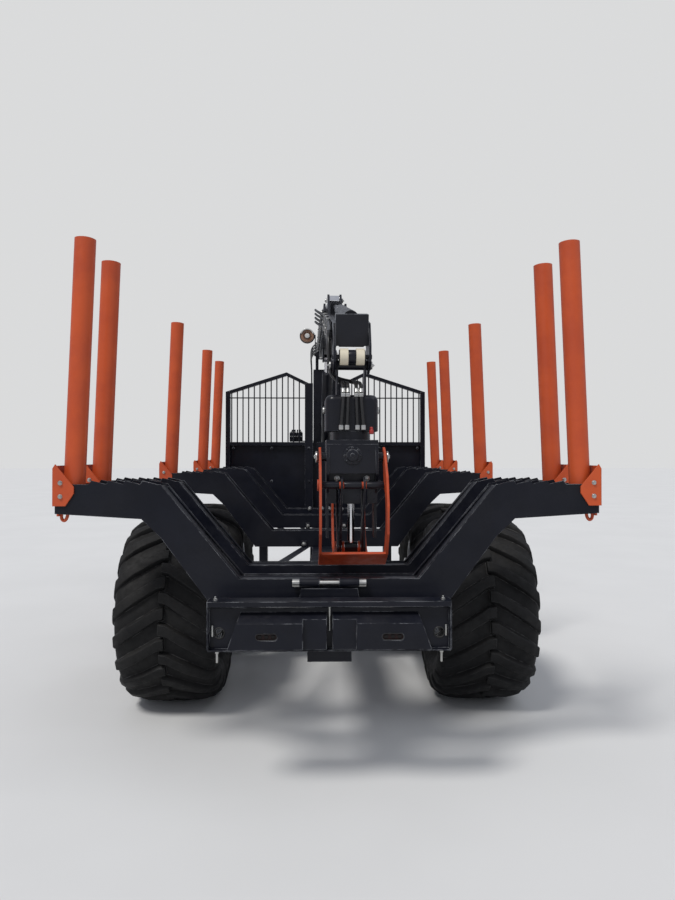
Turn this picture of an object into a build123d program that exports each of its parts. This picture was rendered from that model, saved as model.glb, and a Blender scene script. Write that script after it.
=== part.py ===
from build123d import *
from collections import namedtuple
from math import atan2, cos, degrees, hypot, radians, sin
import os

os.makedirs("parts", exist_ok=True)

# Driving sizes, in millimetres. Stations are distances forward from the lamp panel's rear face.
ground_z = 0.0
plate = 8.0
thin_plate = 5.0
seat_gap = 0.3
run_gap = 1.0
pin_fit = 0.5

# Main beam and its telescopic rear end
beam_width = 220.0
beam_depth = 240.0
beam_wall = 8.0
beam_top_z = 880.0
beam_rear_station = 560.0
beam_front_station = 5900.0
extension_clearance = 0.5
extension_reach = 700.0

# Wheels and bogie
tyre_radius = 586.0
tyre_width = 600.0
rim_radius = 286.0
lug_height = 30.0
wheel_track = 1950.0
wheelbase = 1280.0
bogie_station = 2170.0
bogie_beam_width = 120.0
bogie_beam_x = 560.0
hub_radius = 105.0

# Bunks
bunk_depth = 150.0
bunk_flat_z = 1005.0
bunk_flat_half = 430.0
bunk_foot_half = 560.0
arm_root_x = 801.0
arm_end_x = 1298.0
arm_top_z = 1455.0
arm_under_root_z = 1290.0
arm_under_end_z = 1315.0
flank_under_z = 1204.0
tooth_pitch = 80.0
tooth_rise = 17.0
teeth_per_arm = 5
strip_recess = 10.0
BunkPlace = namedtuple("BunkPlace", "name station")
bunk_places = [
    BunkPlace("bunk_2", 700.0),
    BunkPlace("bunk_3", 2380.0),
    BunkPlace("bunk_4", 3770.0),
    BunkPlace("bunk_5", 4560.0),
]
rear_bunk_station = 300.0

# Stakes: round tubes that lean inward
stake_diameter = 100.0
stake_wall = 6.0
stake_x = 1232.0
stake_top_z = 2642.0
stake_lean = 2.3
bracket_reach = 100.0
stake_pad = 16.0
bracket_low_z = 1352.0
bracket_high_z = 1550.0

# Headboard
head_station = 4800.0
head_width = 2300.0
head_low_z = 900.0
head_sheet_top_z = 1750.0
head_outer_z = 2330.0
head_peak_z = 2555.0
head_peak_x = 450.0
head_post_top_z = 2430.0
head_slot_half = 147.0
head_post_width = 92.0
head_post_depth = 60.0
head_rod_diameter = 14.0
head_rod_pitch = 65.0
head_rail_z = 2260.0

# Crane, in its own upright plane: reach outward from the column, height above ground
crane_station = 5350.0
crane_slew = 1.35
column_width = 296.0
column_depth = 270.0
column_wall = 10.0
column_low_z = 1190.0
column_box_top_z = 2640.0
column_top_z = 2975.0
boom_pivot_z = 2860.0
boom_length = 2850.0
boom_rise = -109.0
boom_width = 170.0
boom_depth = 210.0
boom_wall = 8.0
jib_droop = 14.1
jib_outer_length = 1340.0
jib_reach = 2168.0
jib_travel = 700.0
jib_width = 150.0
jib_depth = 100.0
jib_sink = 48.0
jib_wall = 8.0
inner_width = 128.0
inner_depth = 78.0
cheek = 16.0
side_gap = 2.0
lift_foot_reach = 230.0
lift_foot_z = 1650.0
lift_eye_reach = 950.0
lift_eye_z = 2660.0
jib_foot_reach = 1500.0
jib_foot_z = 3060.0
jib_lever = 190.0
jib_lever_angle = 135.0
link_pin_reach = 4850.0
link_pin_z = 2060.0
rotator_top_z = 1900.0
rotor_top_z = 1715.0
frame_top_z = 1670.0
claw_pivot_reach = 95.0
claw_pivot_z = 1585.0
grapple_low_z = 1030.0
outer_claw_half = 168.0
inner_claw_half = 92.0
frame_half_width = 130.0
crosshead_z = 1120.0
link_boss_reach = 155.0
link_boss_z = 1445.0

# Drawbar and legs
steer_station = 6080.0
eye_station = 7350.0
eye_bore = 50.0
eye_outer = 110.0
eye_height = 45.0
drawbar_z = 700.0
steer_foot_station = 5600.0
steer_foot_x = 200.0
steer_eye_station = 6200.0
steer_eye_x = 165.0
leg_station = 5350.0
leg_x = 760.0
leg_tube = 120.0
leg_inner_tube = 100.0
leg_low_z = 480.0
leg_high_z = 1220.0
leg_inner_top_z = 800.0
foot_diameter = 280.0
foot_thickness = 20.0

# Lamp panel at the rear end
panel_half = 545.0
panel_low_z = 722.0
panel_high_z = 905.0
panel_station = 60.0
lamp_box_inner_x = 120.0
lamp_box_outer_x = 455.0
lamp_box_top_outer_x = 400.0
lamp_box_low_z = 730.0
lamp_box_face_z = 846.0
lamp_box_top_z = 886.0
lamp_x = 281.0
lamp_z = 788.0
lamp_length = 98.0
lamp_height = 32.0
flange_low_z = 916.0
flange_high_z = 940.0

overall_length = eye_station + eye_outer / 2
rear_y = -overall_length / 2


def y_at(station):
    """Y of a station measured forward from the lamp panel's rear face."""
    return rear_y + station


def save(name, part):
    """Label a finished piece and write it."""
    part.label = name
    export_step(part, f"parts/{name}.step")


def block(low, high):
    """A plain block between two corners."""
    size = [h - l for l, h in zip(low, high)]
    centre = tuple((h + l) / 2 for l, h in zip(low, high))
    with BuildPart() as solid:
        with Locations(centre):
            Box(*size)
    return solid.part


def rod(start, end, diameter, bore=0.0):
    """A round bar or tube between two points."""
    axis = Vector(*end) - Vector(*start)
    with BuildPart() as solid:
        with BuildSketch(Plane(origin=start, z_dir=axis)):
            Circle(diameter / 2)
            if bore:
                Circle(bore / 2, mode=Mode.SUBTRACT)
        extrude(amount=axis.length)
    return solid.part


def joined(*pieces):
    """One node made of several solids, fused where they meet."""
    with BuildPart() as node:
        for piece in pieces:
            add(piece)
    return node.part


# Tyres and rims are drawn with their axis along X, centred on the wheel's middle plane
lug_count = 20
lug_width = 60.0
lug_angle = 38.0
crown_half = 225.0
bead_half = 235.0
lug_root_depth = 16.0
lug_reach = 274.0


def make_tyre():
    """Carcass turned round the axle, with chevron bars fused on its crown."""
    crown_r = tyre_radius - lug_height
    half = tyre_width / 2
    with BuildPart() as tyre:
        with BuildSketch(Plane.XY):
            with BuildLine():
                Polyline(
                    (-bead_half, rim_radius), (-bead_half, rim_radius + 24),
                    (-half + 25, rim_radius + 60), (-half, rim_radius + 125),
                    (-half + 12, crown_r - 65), (-crown_half, crown_r - 12), (0, crown_r),
                    (crown_half, crown_r - 12), (half - 12, crown_r - 65), (half, rim_radius + 125),
                    (half - 25, rim_radius + 60), (bead_half, rim_radius + 24),
                    (bead_half, rim_radius), (200, rim_radius),
                    (200, rim_radius + 22), (half - 45, rim_radius + 120), (half - 55, crown_r - 75),
                    (0, crown_r - 35), (-half + 55, crown_r - 75), (-half + 45, rim_radius + 120),
                    (-200, rim_radius + 22), (-200, rim_radius), close=True,
                )
            make_face()
        revolve(axis=Axis.X)
        bar_length = lug_reach / cos(radians(lug_angle))
        for index in range(lug_count):
            for side in (-1, 1):
                turn = index * 360 / lug_count + (0 if side > 0 else 180 / lug_count)
                spot = Plane.XY.rotated((turn, 0, 0)).offset(tyre_radius - lug_height - lug_root_depth)
                with BuildSketch(spot):
                    with Locations((side * lug_reach / 2, 0)):
                        Rectangle(bar_length, lug_width, rotation=side * lug_angle)
                extrude(amount=lug_height + lug_root_depth - 8)
    return tyre.part


tyre_shape = make_tyre()
hub_z = ground_z - tyre_shape.bounding_box().min.Z
disc_inset = 90.0
disc_thickness = 14.0
rim_half = bead_half + seat_gap
axle_diameter = 90.0
axle_end_x = 905.0
hub_length = 250.0


def make_rim():
    """Barrel, dished disc and hub drum with the axle's bore; the outside faces +X."""
    seat = rim_radius - seat_gap
    with BuildPart() as rim:
        with BuildSketch(Plane.XY):
            with BuildLine():
                Polyline(
                    (-rim_half, seat + 18), (-rim_half - 8, seat + 18), (-rim_half - 8, seat - 12),
                    (-150, seat - 12), (-110, seat - 40), (60, seat - 40), (110, seat - 12),
                    (rim_half + 8, seat - 12), (rim_half + 8, seat + 18), (rim_half, seat + 18),
                    (rim_half, seat), (104, seat), (56, seat - 30), (-106, seat - 30),
                    (-146, seat), (-rim_half, seat), close=True,
                )
            make_face()
        revolve(axis=Axis.X)
        with BuildSketch(Plane.YZ.offset(-disc_inset)):
            Circle(seat - 36)
            with PolarLocations(180, 8):
                Circle(24, mode=Mode.SUBTRACT)
        extrude(amount=disc_thickness)
        with BuildSketch(Plane.YZ.offset(-disc_inset - hub_length + 40)):
            Circle(120)
        extrude(amount=hub_length - 40)
        with BuildSketch(Plane.YZ.offset(-disc_inset)):
            Circle(hub_radius - 25)
        extrude(amount=70)
        with BuildSketch(Plane.YZ.offset(-disc_inset - hub_length)):
            Circle(axle_diameter / 2 + pin_fit)
        extrude(amount=hub_length + 40, mode=Mode.SUBTRACT)
    return rim.part


rim_shape = make_rim()
WheelPlace = namedtuple("WheelPlace", "name side station")
wheel_places = [
    WheelPlace("rear_left", -1, bogie_station - wheelbase / 2),
    WheelPlace("rear_right", 1, bogie_station - wheelbase / 2),
    WheelPlace("front_left", -1, bogie_station + wheelbase / 2),
    WheelPlace("front_right", 1, bogie_station + wheelbase / 2),
]
for wheel in wheel_places:
    centre = (wheel.side * wheel_track / 2, y_at(wheel.station), hub_z)
    turn = (0, 0, 0) if wheel.side > 0 else (0, 0, 180)
    save("tyre_" + wheel.name, Location(centre) * tyre_shape)
    save("rim_" + wheel.name, Location(centre, turn) * rim_shape)


# Bunks: two plates joined by a strip set in from their edges
def bunk_outline(foot_z):
    """Right half of a bunk's outline, without teeth, from the centre of its foot round to its flat top."""
    return [
        (0, foot_z), (bunk_foot_half, foot_z), (arm_root_x, flank_under_z),
        (arm_root_x + 90, arm_under_root_z), (arm_end_x, arm_under_end_z), (arm_end_x, arm_top_z),
        (arm_root_x, arm_top_z), (bunk_flat_half, bunk_flat_z), (0, bunk_flat_z),
    ]


def toothed_top():
    """Saw teeth along an arm's top edge, from its end inwards, and the number of points used."""
    points = []
    for index in range(teeth_per_arm):
        x = arm_end_x - stake_diameter - 60 - index * tooth_pitch
        points += [(x, arm_top_z), (x - 12, arm_top_z + tooth_rise)]
        points += [(x - tooth_pitch + 12, arm_top_z + tooth_rise * 0.25)]
    return [p for p in points if p[0] > arm_root_x + 10]


def make_bunk(station, foot_z):
    """One bunk with its toothed plates, its inset strip and the pockets for its stakes."""
    right = bunk_outline(foot_z)
    toothed = right[1:6] + toothed_top() + right[6:8]
    ring = toothed + [(-x, z) for x, z in reversed(toothed)]
    plain = right[1:8]
    plain_ring = plain + [(-x, z) for x, z in reversed(plain)]
    centre = Plane(origin=(0, y_at(station), 0), x_dir=(1, 0, 0), z_dir=(0, -1, 0))
    inner_gap = bunk_depth - 2 * plate
    with BuildPart() as bunk:
        for side in (-1, 1):
            with BuildSketch(centre.offset(side * (bunk_depth - plate) / 2)):
                with BuildLine():
                    Polyline(*ring, close=True)
                make_face()
            extrude(amount=plate / 2, both=True)
        with BuildSketch(centre):
            with BuildLine():
                Polyline(*plain_ring, close=True)
                offset(amount=-strip_recess, kind=Kind.INTERSECTION, mode=Mode.REPLACE)
            make_face()
            offset(amount=-plate, kind=Kind.INTERSECTION, mode=Mode.SUBTRACT)
        extrude(amount=inner_gap / 2, both=True)
        for side in (-1, 1):
            pocket = (side * (arm_end_x - stake_diameter / 2 - 16), y_at(station), arm_top_z)
            with Locations(pocket):
                Box(stake_diameter + 40, inner_gap, 2 * (arm_top_z - arm_under_end_z - 24),
                    mode=Mode.SUBTRACT)
            with Locations((side * (stake_x + 4), y_at(station), arm_under_end_z + 24 - stake_pad / 2)):
                Box(stake_diameter, inner_gap, stake_pad)
    return bunk.part


for place in bunk_places:
    save(place.name, make_bunk(place.station, beam_top_z))
save("bunk_1", make_bunk(rear_bunk_station, beam_top_z))


# Stakes with their folded end brackets
def make_stakes(stations):
    """Leaning tubes at both ends of the bunks at these stations."""
    with BuildPart() as stakes:
        for station in stations:
            for side in (-1, 1):
                foot_z = arm_under_end_z + 24 + seat_gap
                foot = Vector(side * (stake_x + 4), y_at(station), foot_z)
                lean = Vector(-side * sin(radians(stake_lean)), 0, cos(radians(stake_lean)))
                with BuildSketch(Plane(origin=foot, z_dir=lean)):
                    Circle(stake_diameter / 2)
                    Circle(stake_diameter / 2 - stake_wall, mode=Mode.SUBTRACT)
                extrude(amount=(stake_top_z - foot_z) / cos(radians(stake_lean)))
                with Locations(foot - Vector(0, 0, 20)):
                    Box(200, 200, 40, mode=Mode.SUBTRACT)
    return stakes.part


def make_brackets(stations):
    """A folded channel round each arm's end, peaked at its outer fold, with a hook below."""
    half = bunk_depth / 2 + seat_gap + plate
    outer = arm_end_x + seat_gap + plate
    inner = outer - bracket_reach
    with BuildPart() as brackets:
        for station in stations:
            for side in (-1, 1):
                across = Plane(origin=(0, y_at(station), 0), x_dir=(1, 0, 0), z_dir=(0, -1, 0))
                with BuildSketch(across) as wrap:
                    with BuildLine():
                        Polyline(
                            (side * outer, bracket_low_z), (side * outer, bracket_high_z - 20),
                            (side * (outer - 12), bracket_high_z), (side * inner, arm_top_z - 12),
                            (side * inner, bracket_low_z + 60), (side * (inner + 40), bracket_low_z),
                            close=True,
                        )
                    make_face()
                extrude(amount=half, both=True)
        with Locations([(0, y_at(station), 1400) for station in stations]):
            Box(2 * (arm_end_x + seat_gap), 2 * (half - plate), 600, mode=Mode.SUBTRACT)
        for station in stations:
            for side in (-1, 1):
                with Locations((side * (outer - 16), y_at(station), bracket_low_z - 26)):
                    Box(32, 60, 52)
                with Locations((side * (outer - 22), y_at(station), bracket_low_z - 20)):
                    Box(28, 60, 24, mode=Mode.SUBTRACT)
                with Locations((side * (outer - 34), y_at(station), bracket_low_z - 10)):
                    Box(50, 62, 130, mode=Mode.SUBTRACT)
    return brackets.part


front_stations = [place.station for place in bunk_places]
save("stakes_front", make_stakes(front_stations))
save("stakes_rear", make_stakes([rear_bunk_station]))
save("stake_brackets_front", make_brackets(front_stations))
save("stake_brackets_rear", make_brackets([rear_bunk_station]))

# Main beam, with the crane's seat and the drawbar's fork
beam_low_z = beam_top_z - beam_depth
beam_mid_z = beam_top_z - beam_depth / 2
beam_front_y = y_at(beam_front_station)
steer_pin_diameter = 70.0
fork_plate = 30.0
fork_width = 240.0
drawbar_eye_height = 150.0
crane_seat_length = 620.0
crane_seat_width = 520.0
crane_seat_thickness = 25.0
steer_ram_width = 60.0
steer_lug = 14.0
steer_pin_small = 45.0
with BuildPart() as main_beam:
    with BuildSketch(Plane.XZ.offset(-beam_front_y)):
        with Locations((0, beam_mid_z)):
            Rectangle(beam_width, beam_depth)
            Rectangle(beam_width - 2 * beam_wall, beam_depth - 2 * beam_wall, mode=Mode.SUBTRACT)
    extrude(amount=beam_front_station - beam_rear_station)
    with Locations((0, beam_front_y - 60, beam_mid_z)):
        Box(beam_width, 120, beam_depth)
    for side in (-1, 1):
        level = beam_mid_z + side * (drawbar_eye_height / 2 + run_gap + fork_plate / 2)
        with BuildSketch(Plane.XY.offset(level)):
            with Locations((0, (y_at(steer_station) + beam_front_y) / 2)):
                Rectangle(fork_width, y_at(steer_station) - beam_front_y)
            with Locations((0, y_at(steer_station))):
                Circle(fork_width / 2)
                Circle(steer_pin_diameter / 2, mode=Mode.SUBTRACT)
        extrude(amount=fork_plate / 2, both=True)
    with Locations((0, y_at(crane_station), beam_top_z + crane_seat_thickness / 2)):
        Box(crane_seat_width, crane_seat_length, crane_seat_thickness)
    for side in (-1, 1):
        with Locations((side * (beam_width / 2 + 6), y_at(crane_station), beam_mid_z + 20)):
            Box(12, crane_seat_length - 80, beam_depth - 40)
    for place in bunk_places[1:]:
        for side in (-1, 1):
            with Locations((side * (beam_width / 2 + 10), y_at(place.station), beam_top_z - 60)):
                Box(20, bunk_depth + 60, 120)
    for side in (-1, 1):
        for rise in (-1, 1):
            level = beam_mid_z + rise * (steer_ram_width / 2 + side_gap + steer_lug / 2)
            with BuildSketch(Plane.XY.offset(level)):
                with BuildLine():
                    Polyline((side * 100, y_at(steer_foot_station) - 90),
                             (side * (steer_foot_x + 20), y_at(steer_foot_station) - 44),
                             (side * (steer_foot_x + 44), y_at(steer_foot_station)),
                             (side * (steer_foot_x + 20), y_at(steer_foot_station) + 44),
                             (side * 100, y_at(steer_foot_station) + 60), close=True)
                make_face()
            extrude(amount=steer_lug / 2, both=True)
        with BuildSketch(Plane.XY.offset(beam_mid_z)):
            with Locations((side * steer_foot_x, y_at(steer_foot_station))):
                Circle(steer_pin_small / 2)
        extrude(amount=steer_ram_width / 2 + side_gap + steer_lug + 6, both=True)
save("main_beam", main_beam.part)
save("steer_pin", rod((0, y_at(steer_station), beam_mid_z - drawbar_eye_height / 2 - fork_plate - 8),
                      (0, y_at(steer_station), beam_mid_z + drawbar_eye_height / 2 + fork_plate + 8),
                      steer_pin_diameter - 2 * pin_fit))

# Flat braces under the bunks, from the beam out to the next bunk's foot
brace_out = 430.0
brace_width = 60.0
BracePlace = namedtuple("BracePlace", "start_station end_station")
brace_places = [BracePlace(2330.0, 730.0), BracePlace(2430.0, 3740.0)]
with BuildPart() as braces:
    for place in brace_places:
        for side in (-1, 1):
            low = (side * (beam_width / 2 + 20 + seat_gap), y_at(place.start_station), 0)
            high = (side * brace_out, y_at(place.end_station), 0)
            with BuildSketch(Plane.XY.offset(beam_top_z - thin_plate - seat_gap)):
                with BuildLine():
                    Polyline(
                        low, (low[0] + side * brace_width, low[1], 0),
                        (high[0] + side * brace_width, high[1], 0), high, close=True,
                    )
                make_face()
            extrude(amount=thin_plate)
save("frame_braces", braces.part)

# Bogie: a square cross axle under the beam, rocking beams on its ends, stub axles for the wheels
axle_square = 140.0
axle_half = 470.0
pivot_diameter = 120.0
bogie_y = y_at(bogie_station)
pivot_z = beam_low_z - axle_square / 2
bogie_outer_x = bogie_beam_x + bogie_beam_width / 2
with BuildPart() as cross_axle:
    with Locations((0, bogie_y, pivot_z)):
        Box(2 * axle_half, axle_square, axle_square)
        with Locations(Rotation(0, 90, 0)):
            Cylinder(pivot_diameter / 2, 2 * (bogie_outer_x + 30))
    for side in (-1, 1):
        with Locations((side * (beam_width / 2 + 9), bogie_y, beam_mid_z - 40)):
            Box(18, 190, beam_depth - 40)
    with Locations((0, bogie_y, beam_mid_z - 40)):
        Box(beam_width, 400, beam_depth + 400, mode=Mode.SUBTRACT)
    with Locations((0, bogie_y, pivot_z)):
        Box(beam_width + 40, axle_square, axle_square)
save("cross_axle", cross_axle.part)

with BuildPart() as bogie_beams:
    for side in (-1, 1):
        middle = Plane(origin=(side * bogie_beam_x, 0, 0), x_dir=(0, 1, 0), z_dir=(1, 0, 0))
        with BuildSketch(middle):
            with BuildLine():
                Polyline(
                    (bogie_y - wheelbase / 2, hub_z - 90), (bogie_y - 130, pivot_z - 120),
                    (bogie_y + 130, pivot_z - 120), (bogie_y + wheelbase / 2, hub_z - 90),
                    (bogie_y + wheelbase / 2, hub_z + 90), (bogie_y + 130, pivot_z + 115),
                    (bogie_y - 130, pivot_z + 115), (bogie_y - wheelbase / 2, hub_z + 90), close=True,
                )
            make_face()
            with Locations((bogie_y - wheelbase / 2, hub_z), (bogie_y + wheelbase / 2, hub_z)):
                Circle(90)
            with Locations((bogie_y, pivot_z)):
                Circle(pivot_diameter / 2 + seat_gap, mode=Mode.SUBTRACT)
        extrude(amount=bogie_beam_width / 2, both=True)
        for end in (-1, 1):
            stub = Plane(
                origin=(side * (bogie_outer_x - 4), bogie_y + end * wheelbase / 2, hub_z),
                z_dir=(side, 0, 0),
            )
            with BuildSketch(stub):
                Circle(axle_diameter / 2)
            extrude(amount=axle_end_x - bogie_outer_x)
save("bogie_beams", bogie_beams.part)


# Cylinders: a hollow barrel with a foot eye, and a rod with a solid eye that holds its pin
eye_radius = 42.0
foot_pin_diameter = 45.0
Ram = namedtuple("Ram", "foot eye side barrel_length barrel_diameter rod_diameter width")

barrel_start = 88.0


def make_barrel(ram):
    """Tube with a closed foot, an eye bored for its pin, and a gland at the rod's end."""
    run = (ram.eye - ram.foot).normalized()
    along = Plane(origin=ram.foot, x_dir=ram.side, z_dir=run)
    across = Plane(origin=ram.foot, x_dir=run, z_dir=ram.side)
    bore = ram.barrel_diameter - 16
    with BuildPart() as barrel:
        with BuildSketch(across):
            Circle(eye_radius)
        extrude(amount=ram.width / 2, both=True)
        with BuildSketch(along):
            Rectangle(ram.width, 1.5 * eye_radius)
        extrude(amount=barrel_start + 10)
        with BuildSketch(along.offset(barrel_start)):
            Circle(ram.barrel_diameter / 2)
        extrude(amount=ram.barrel_length - barrel_start)
        with BuildSketch(along.offset(barrel_start + 20)):
            Circle(bore / 2)
        extrude(amount=ram.barrel_length - barrel_start - 55, mode=Mode.SUBTRACT)
        with BuildSketch(along.offset(ram.barrel_length - 40)):
            Circle(ram.rod_diameter / 2 + run_gap)
        extrude(amount=60, mode=Mode.SUBTRACT)
        with BuildSketch(across):
            Circle(foot_pin_diameter / 2 + pin_fit)
        extrude(amount=ram.width, both=True, mode=Mode.SUBTRACT)
    return barrel.part


def make_rod(ram, start):
    """Polished rod from inside the barrel to its eye; start is measured from the foot."""
    run = (ram.eye - ram.foot).normalized()
    reach = (ram.eye - ram.foot).length
    along = Plane(origin=ram.foot, x_dir=ram.side, z_dir=run)
    across = Plane(origin=ram.eye, x_dir=run, z_dir=ram.side)
    with BuildPart() as bar:
        with BuildSketch(along.offset(start)):
            Circle(ram.rod_diameter / 2)
        extrude(amount=reach - start)
        with BuildSketch(across):
            Circle(eye_radius)
        extrude(amount=ram.width / 2, both=True)
    return bar.part


# The crane's upright plane: local x is reach, local y is height, local z is to the crane's left
outward = Vector(sin(radians(crane_slew)), -cos(radians(crane_slew)), 0)
leftward = Vector(-cos(radians(crane_slew)), -sin(radians(crane_slew)), 0)
upright = Plane(origin=(0, y_at(crane_station), 0), x_dir=outward, z_dir=leftward)


def crane_point(reach, height, left=0.0):
    """World point of a place given in the crane's plane."""
    return upright.from_local_coords(Vector(reach, height, left))


def crane_plate(points, left_from, left_to):
    """A plate of a polygonal outline standing in the crane's plane."""
    with BuildPart() as solid:
        with BuildSketch(upright.offset(left_from)):
            with BuildLine():
                Polyline(*points, close=True)
            make_face()
        extrude(amount=left_to - left_from)
    return solid.part


def crane_pin(reach, height, diameter, half_length):
    """A round pin across the crane's plane."""
    return rod(crane_point(reach, height, -half_length), crane_point(reach, height, half_length), diameter)


def twin_plates(points, inner, thickness):
    """Two equal plates at both sides of the crane's plane."""
    return [crane_plate(points, inner, inner + thickness), crane_plate(points, -inner - thickness, -inner)]


def bored(part, places):
    """A part with round bores across the crane's plane: (reach, height, diameter)."""
    with BuildPart() as result:
        add(part)
        for reach, height, diameter in places:
            with BuildSketch(upright):
                with Locations((reach, height)):
                    Circle(diameter / 2)
            extrude(amount=600, both=True, mode=Mode.SUBTRACT)
    return result.part


# Base housing with its slewing cylinders, column and its head
base_low_z = beam_top_z + crane_seat_thickness
base_half_width = 200.0
base_half_depth = 215.0
slew_tube_diameter = 115.0
slew_tube_half = 430.0
with BuildPart() as crane_base:
    with BuildSketch(Plane.XY.offset(base_low_z)):
        with Locations((0, y_at(crane_station))):
            RectangleRounded(2 * base_half_width, 2 * base_half_depth, 50)
    extrude(amount=column_low_z - base_low_z)
    for end in (-1, 1):
        with BuildSketch(Plane.YZ.offset(-slew_tube_half)):
            with Locations((y_at(crane_station) + end * 120, base_low_z + 105)):
                Circle(slew_tube_diameter / 2)
        extrude(amount=2 * slew_tube_half)
save("crane_base", crane_base.part)

half_depth = column_depth / 2
main_pin = 80.0
with BuildPart() as column_box:
    with BuildSketch(upright.offset(-column_width / 2)):
        with BuildLine():
            Polyline((-half_depth, column_low_z), (half_depth, column_low_z),
                     (half_depth, column_box_top_z), (-half_depth, column_box_top_z), close=True)
        make_face()
    extrude(amount=column_width)
    with BuildSketch(upright.offset(-column_width / 2 + column_wall)):
        with BuildLine():
            inset = half_depth - column_wall
            Polyline((-inset, column_low_z - 5), (inset, column_low_z - 5),
                     (inset, column_box_top_z - 20), (-inset, column_box_top_z - 20), close=True)
        make_face()
    extrude(amount=column_width - 2 * column_wall, mode=Mode.SUBTRACT)
head = [(-half_depth, column_box_top_z - 140), (half_depth, column_box_top_z - 140),
        (half_depth, 2790), (110, column_top_z), (-110, column_top_z), (-half_depth, 2790)]
lug = [(half_depth - 20, lift_foot_z - 150), (lift_foot_reach, lift_foot_z - 70),
       (lift_foot_reach + 62, lift_foot_z), (lift_foot_reach, lift_foot_z + 62),
       (half_depth - 20, lift_foot_z + 130)]
ram_half = 40.0
column = joined(
    column_box.part,
    *twin_plates(head, boom_width / 2 + side_gap, 34),
    *twin_plates(lug, ram_half + side_gap, cheek),
    crane_pin(lift_foot_reach, lift_foot_z, foot_pin_diameter, ram_half + cheek + 14),
    crane_pin(0, boom_pivot_z, main_pin, boom_width / 2 + side_gap + 34 + 14),
)
save("column", column)

# Main boom: a tapered box with its knuckle cheeks, its cylinder lugs and a bored root
knuckle_z = boom_pivot_z + boom_rise
boom_outline = [(-70, boom_pivot_z - 70), (60, boom_pivot_z - 85), (350, boom_pivot_z - boom_depth / 2),
                (1700, boom_pivot_z - boom_depth / 2), (2600, knuckle_z - 78), (2600, knuckle_z + 78),
                (1700, boom_pivot_z + boom_depth / 2), (350, boom_pivot_z + boom_depth / 2),
                (60, boom_pivot_z + 85), (-70, boom_pivot_z + 70)]
with BuildPart() as boom_box:
    with BuildSketch(upright.offset(-boom_width / 2)):
        with BuildLine():
            Polyline(*boom_outline, close=True)
        make_face()
    extrude(amount=boom_width)
    with BuildSketch(upright.offset(-boom_width / 2 + boom_wall)):
        with BuildLine():
            low = boom_pivot_z - boom_depth / 2 + boom_wall
            high = boom_pivot_z + boom_depth / 2 - boom_wall
            Polyline((150, low), (1700, low), (2560, knuckle_z - 70), (2560, knuckle_z + 70),
                     (1700, high), (150, high), close=True)
        make_face()
    extrude(amount=boom_width - 2 * boom_wall, mode=Mode.SUBTRACT)
cheeks = [(2430, knuckle_z - 82), (2600, knuckle_z - 84), (boom_length + 30, knuckle_z - 74),
          (boom_length + 80, knuckle_z), (boom_length + 30, knuckle_z + 74), (2600, knuckle_z + 84),
          (2430, knuckle_z + 82)]
lift_lug = [(lift_eye_reach - 190, boom_pivot_z - 100), (lift_eye_reach - 50, lift_eye_z - 40),
            (lift_eye_reach + 50, lift_eye_z - 40), (lift_eye_reach + 190, boom_pivot_z - 100)]
jib_lug = [(jib_foot_reach - 60, jib_foot_z - 60), (jib_foot_reach - 50, jib_foot_z + 45),
           (jib_foot_reach + 50, jib_foot_z + 45), (jib_foot_reach + 110, boom_pivot_z + 100),
           (jib_foot_reach - 110, boom_pivot_z + 100)]
jib_pin = 60.0
boom = joined(
    boom_box.part,
    *twin_plates(cheeks, jib_width / 2 + side_gap, cheek),
    *twin_plates(lift_lug, ram_half + side_gap, cheek),
    *twin_plates(jib_lug, ram_half + side_gap, cheek),
    crane_pin(jib_foot_reach, jib_foot_z, foot_pin_diameter, ram_half + cheek + 10),
    crane_pin(boom_length, knuckle_z, jib_pin, jib_width / 2 + side_gap + cheek + 12),
)
boom = bored(boom, [(0, boom_pivot_z, main_pin + 2 * pin_fit)])
save("boom", boom)

# Jib: places along it are (distance from the knuckle, offset above its axis)
droop = radians(jib_droop)


def on_jib(distance, rise):
    """Reach and height of a place given along and above the jib's axis."""
    return (boom_length + distance * cos(droop) + rise * sin(droop),
            knuckle_z - distance * sin(droop) + rise * cos(droop))


def jib_box(start, end, width, depth, left=0.0, rise=0.0):
    """A block along the jib."""
    points = [on_jib(start, rise - depth / 2), on_jib(end, rise - depth / 2),
              on_jib(end, rise + depth / 2), on_jib(start, rise + depth / 2)]
    return crane_plate(points, left - width / 2, left + width / 2)


def hollow(outer, inner):
    """One block with another taken out of it."""
    with BuildPart() as result:
        add(outer)
        add(inner, mode=Mode.SUBTRACT)
    return result.part


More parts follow.
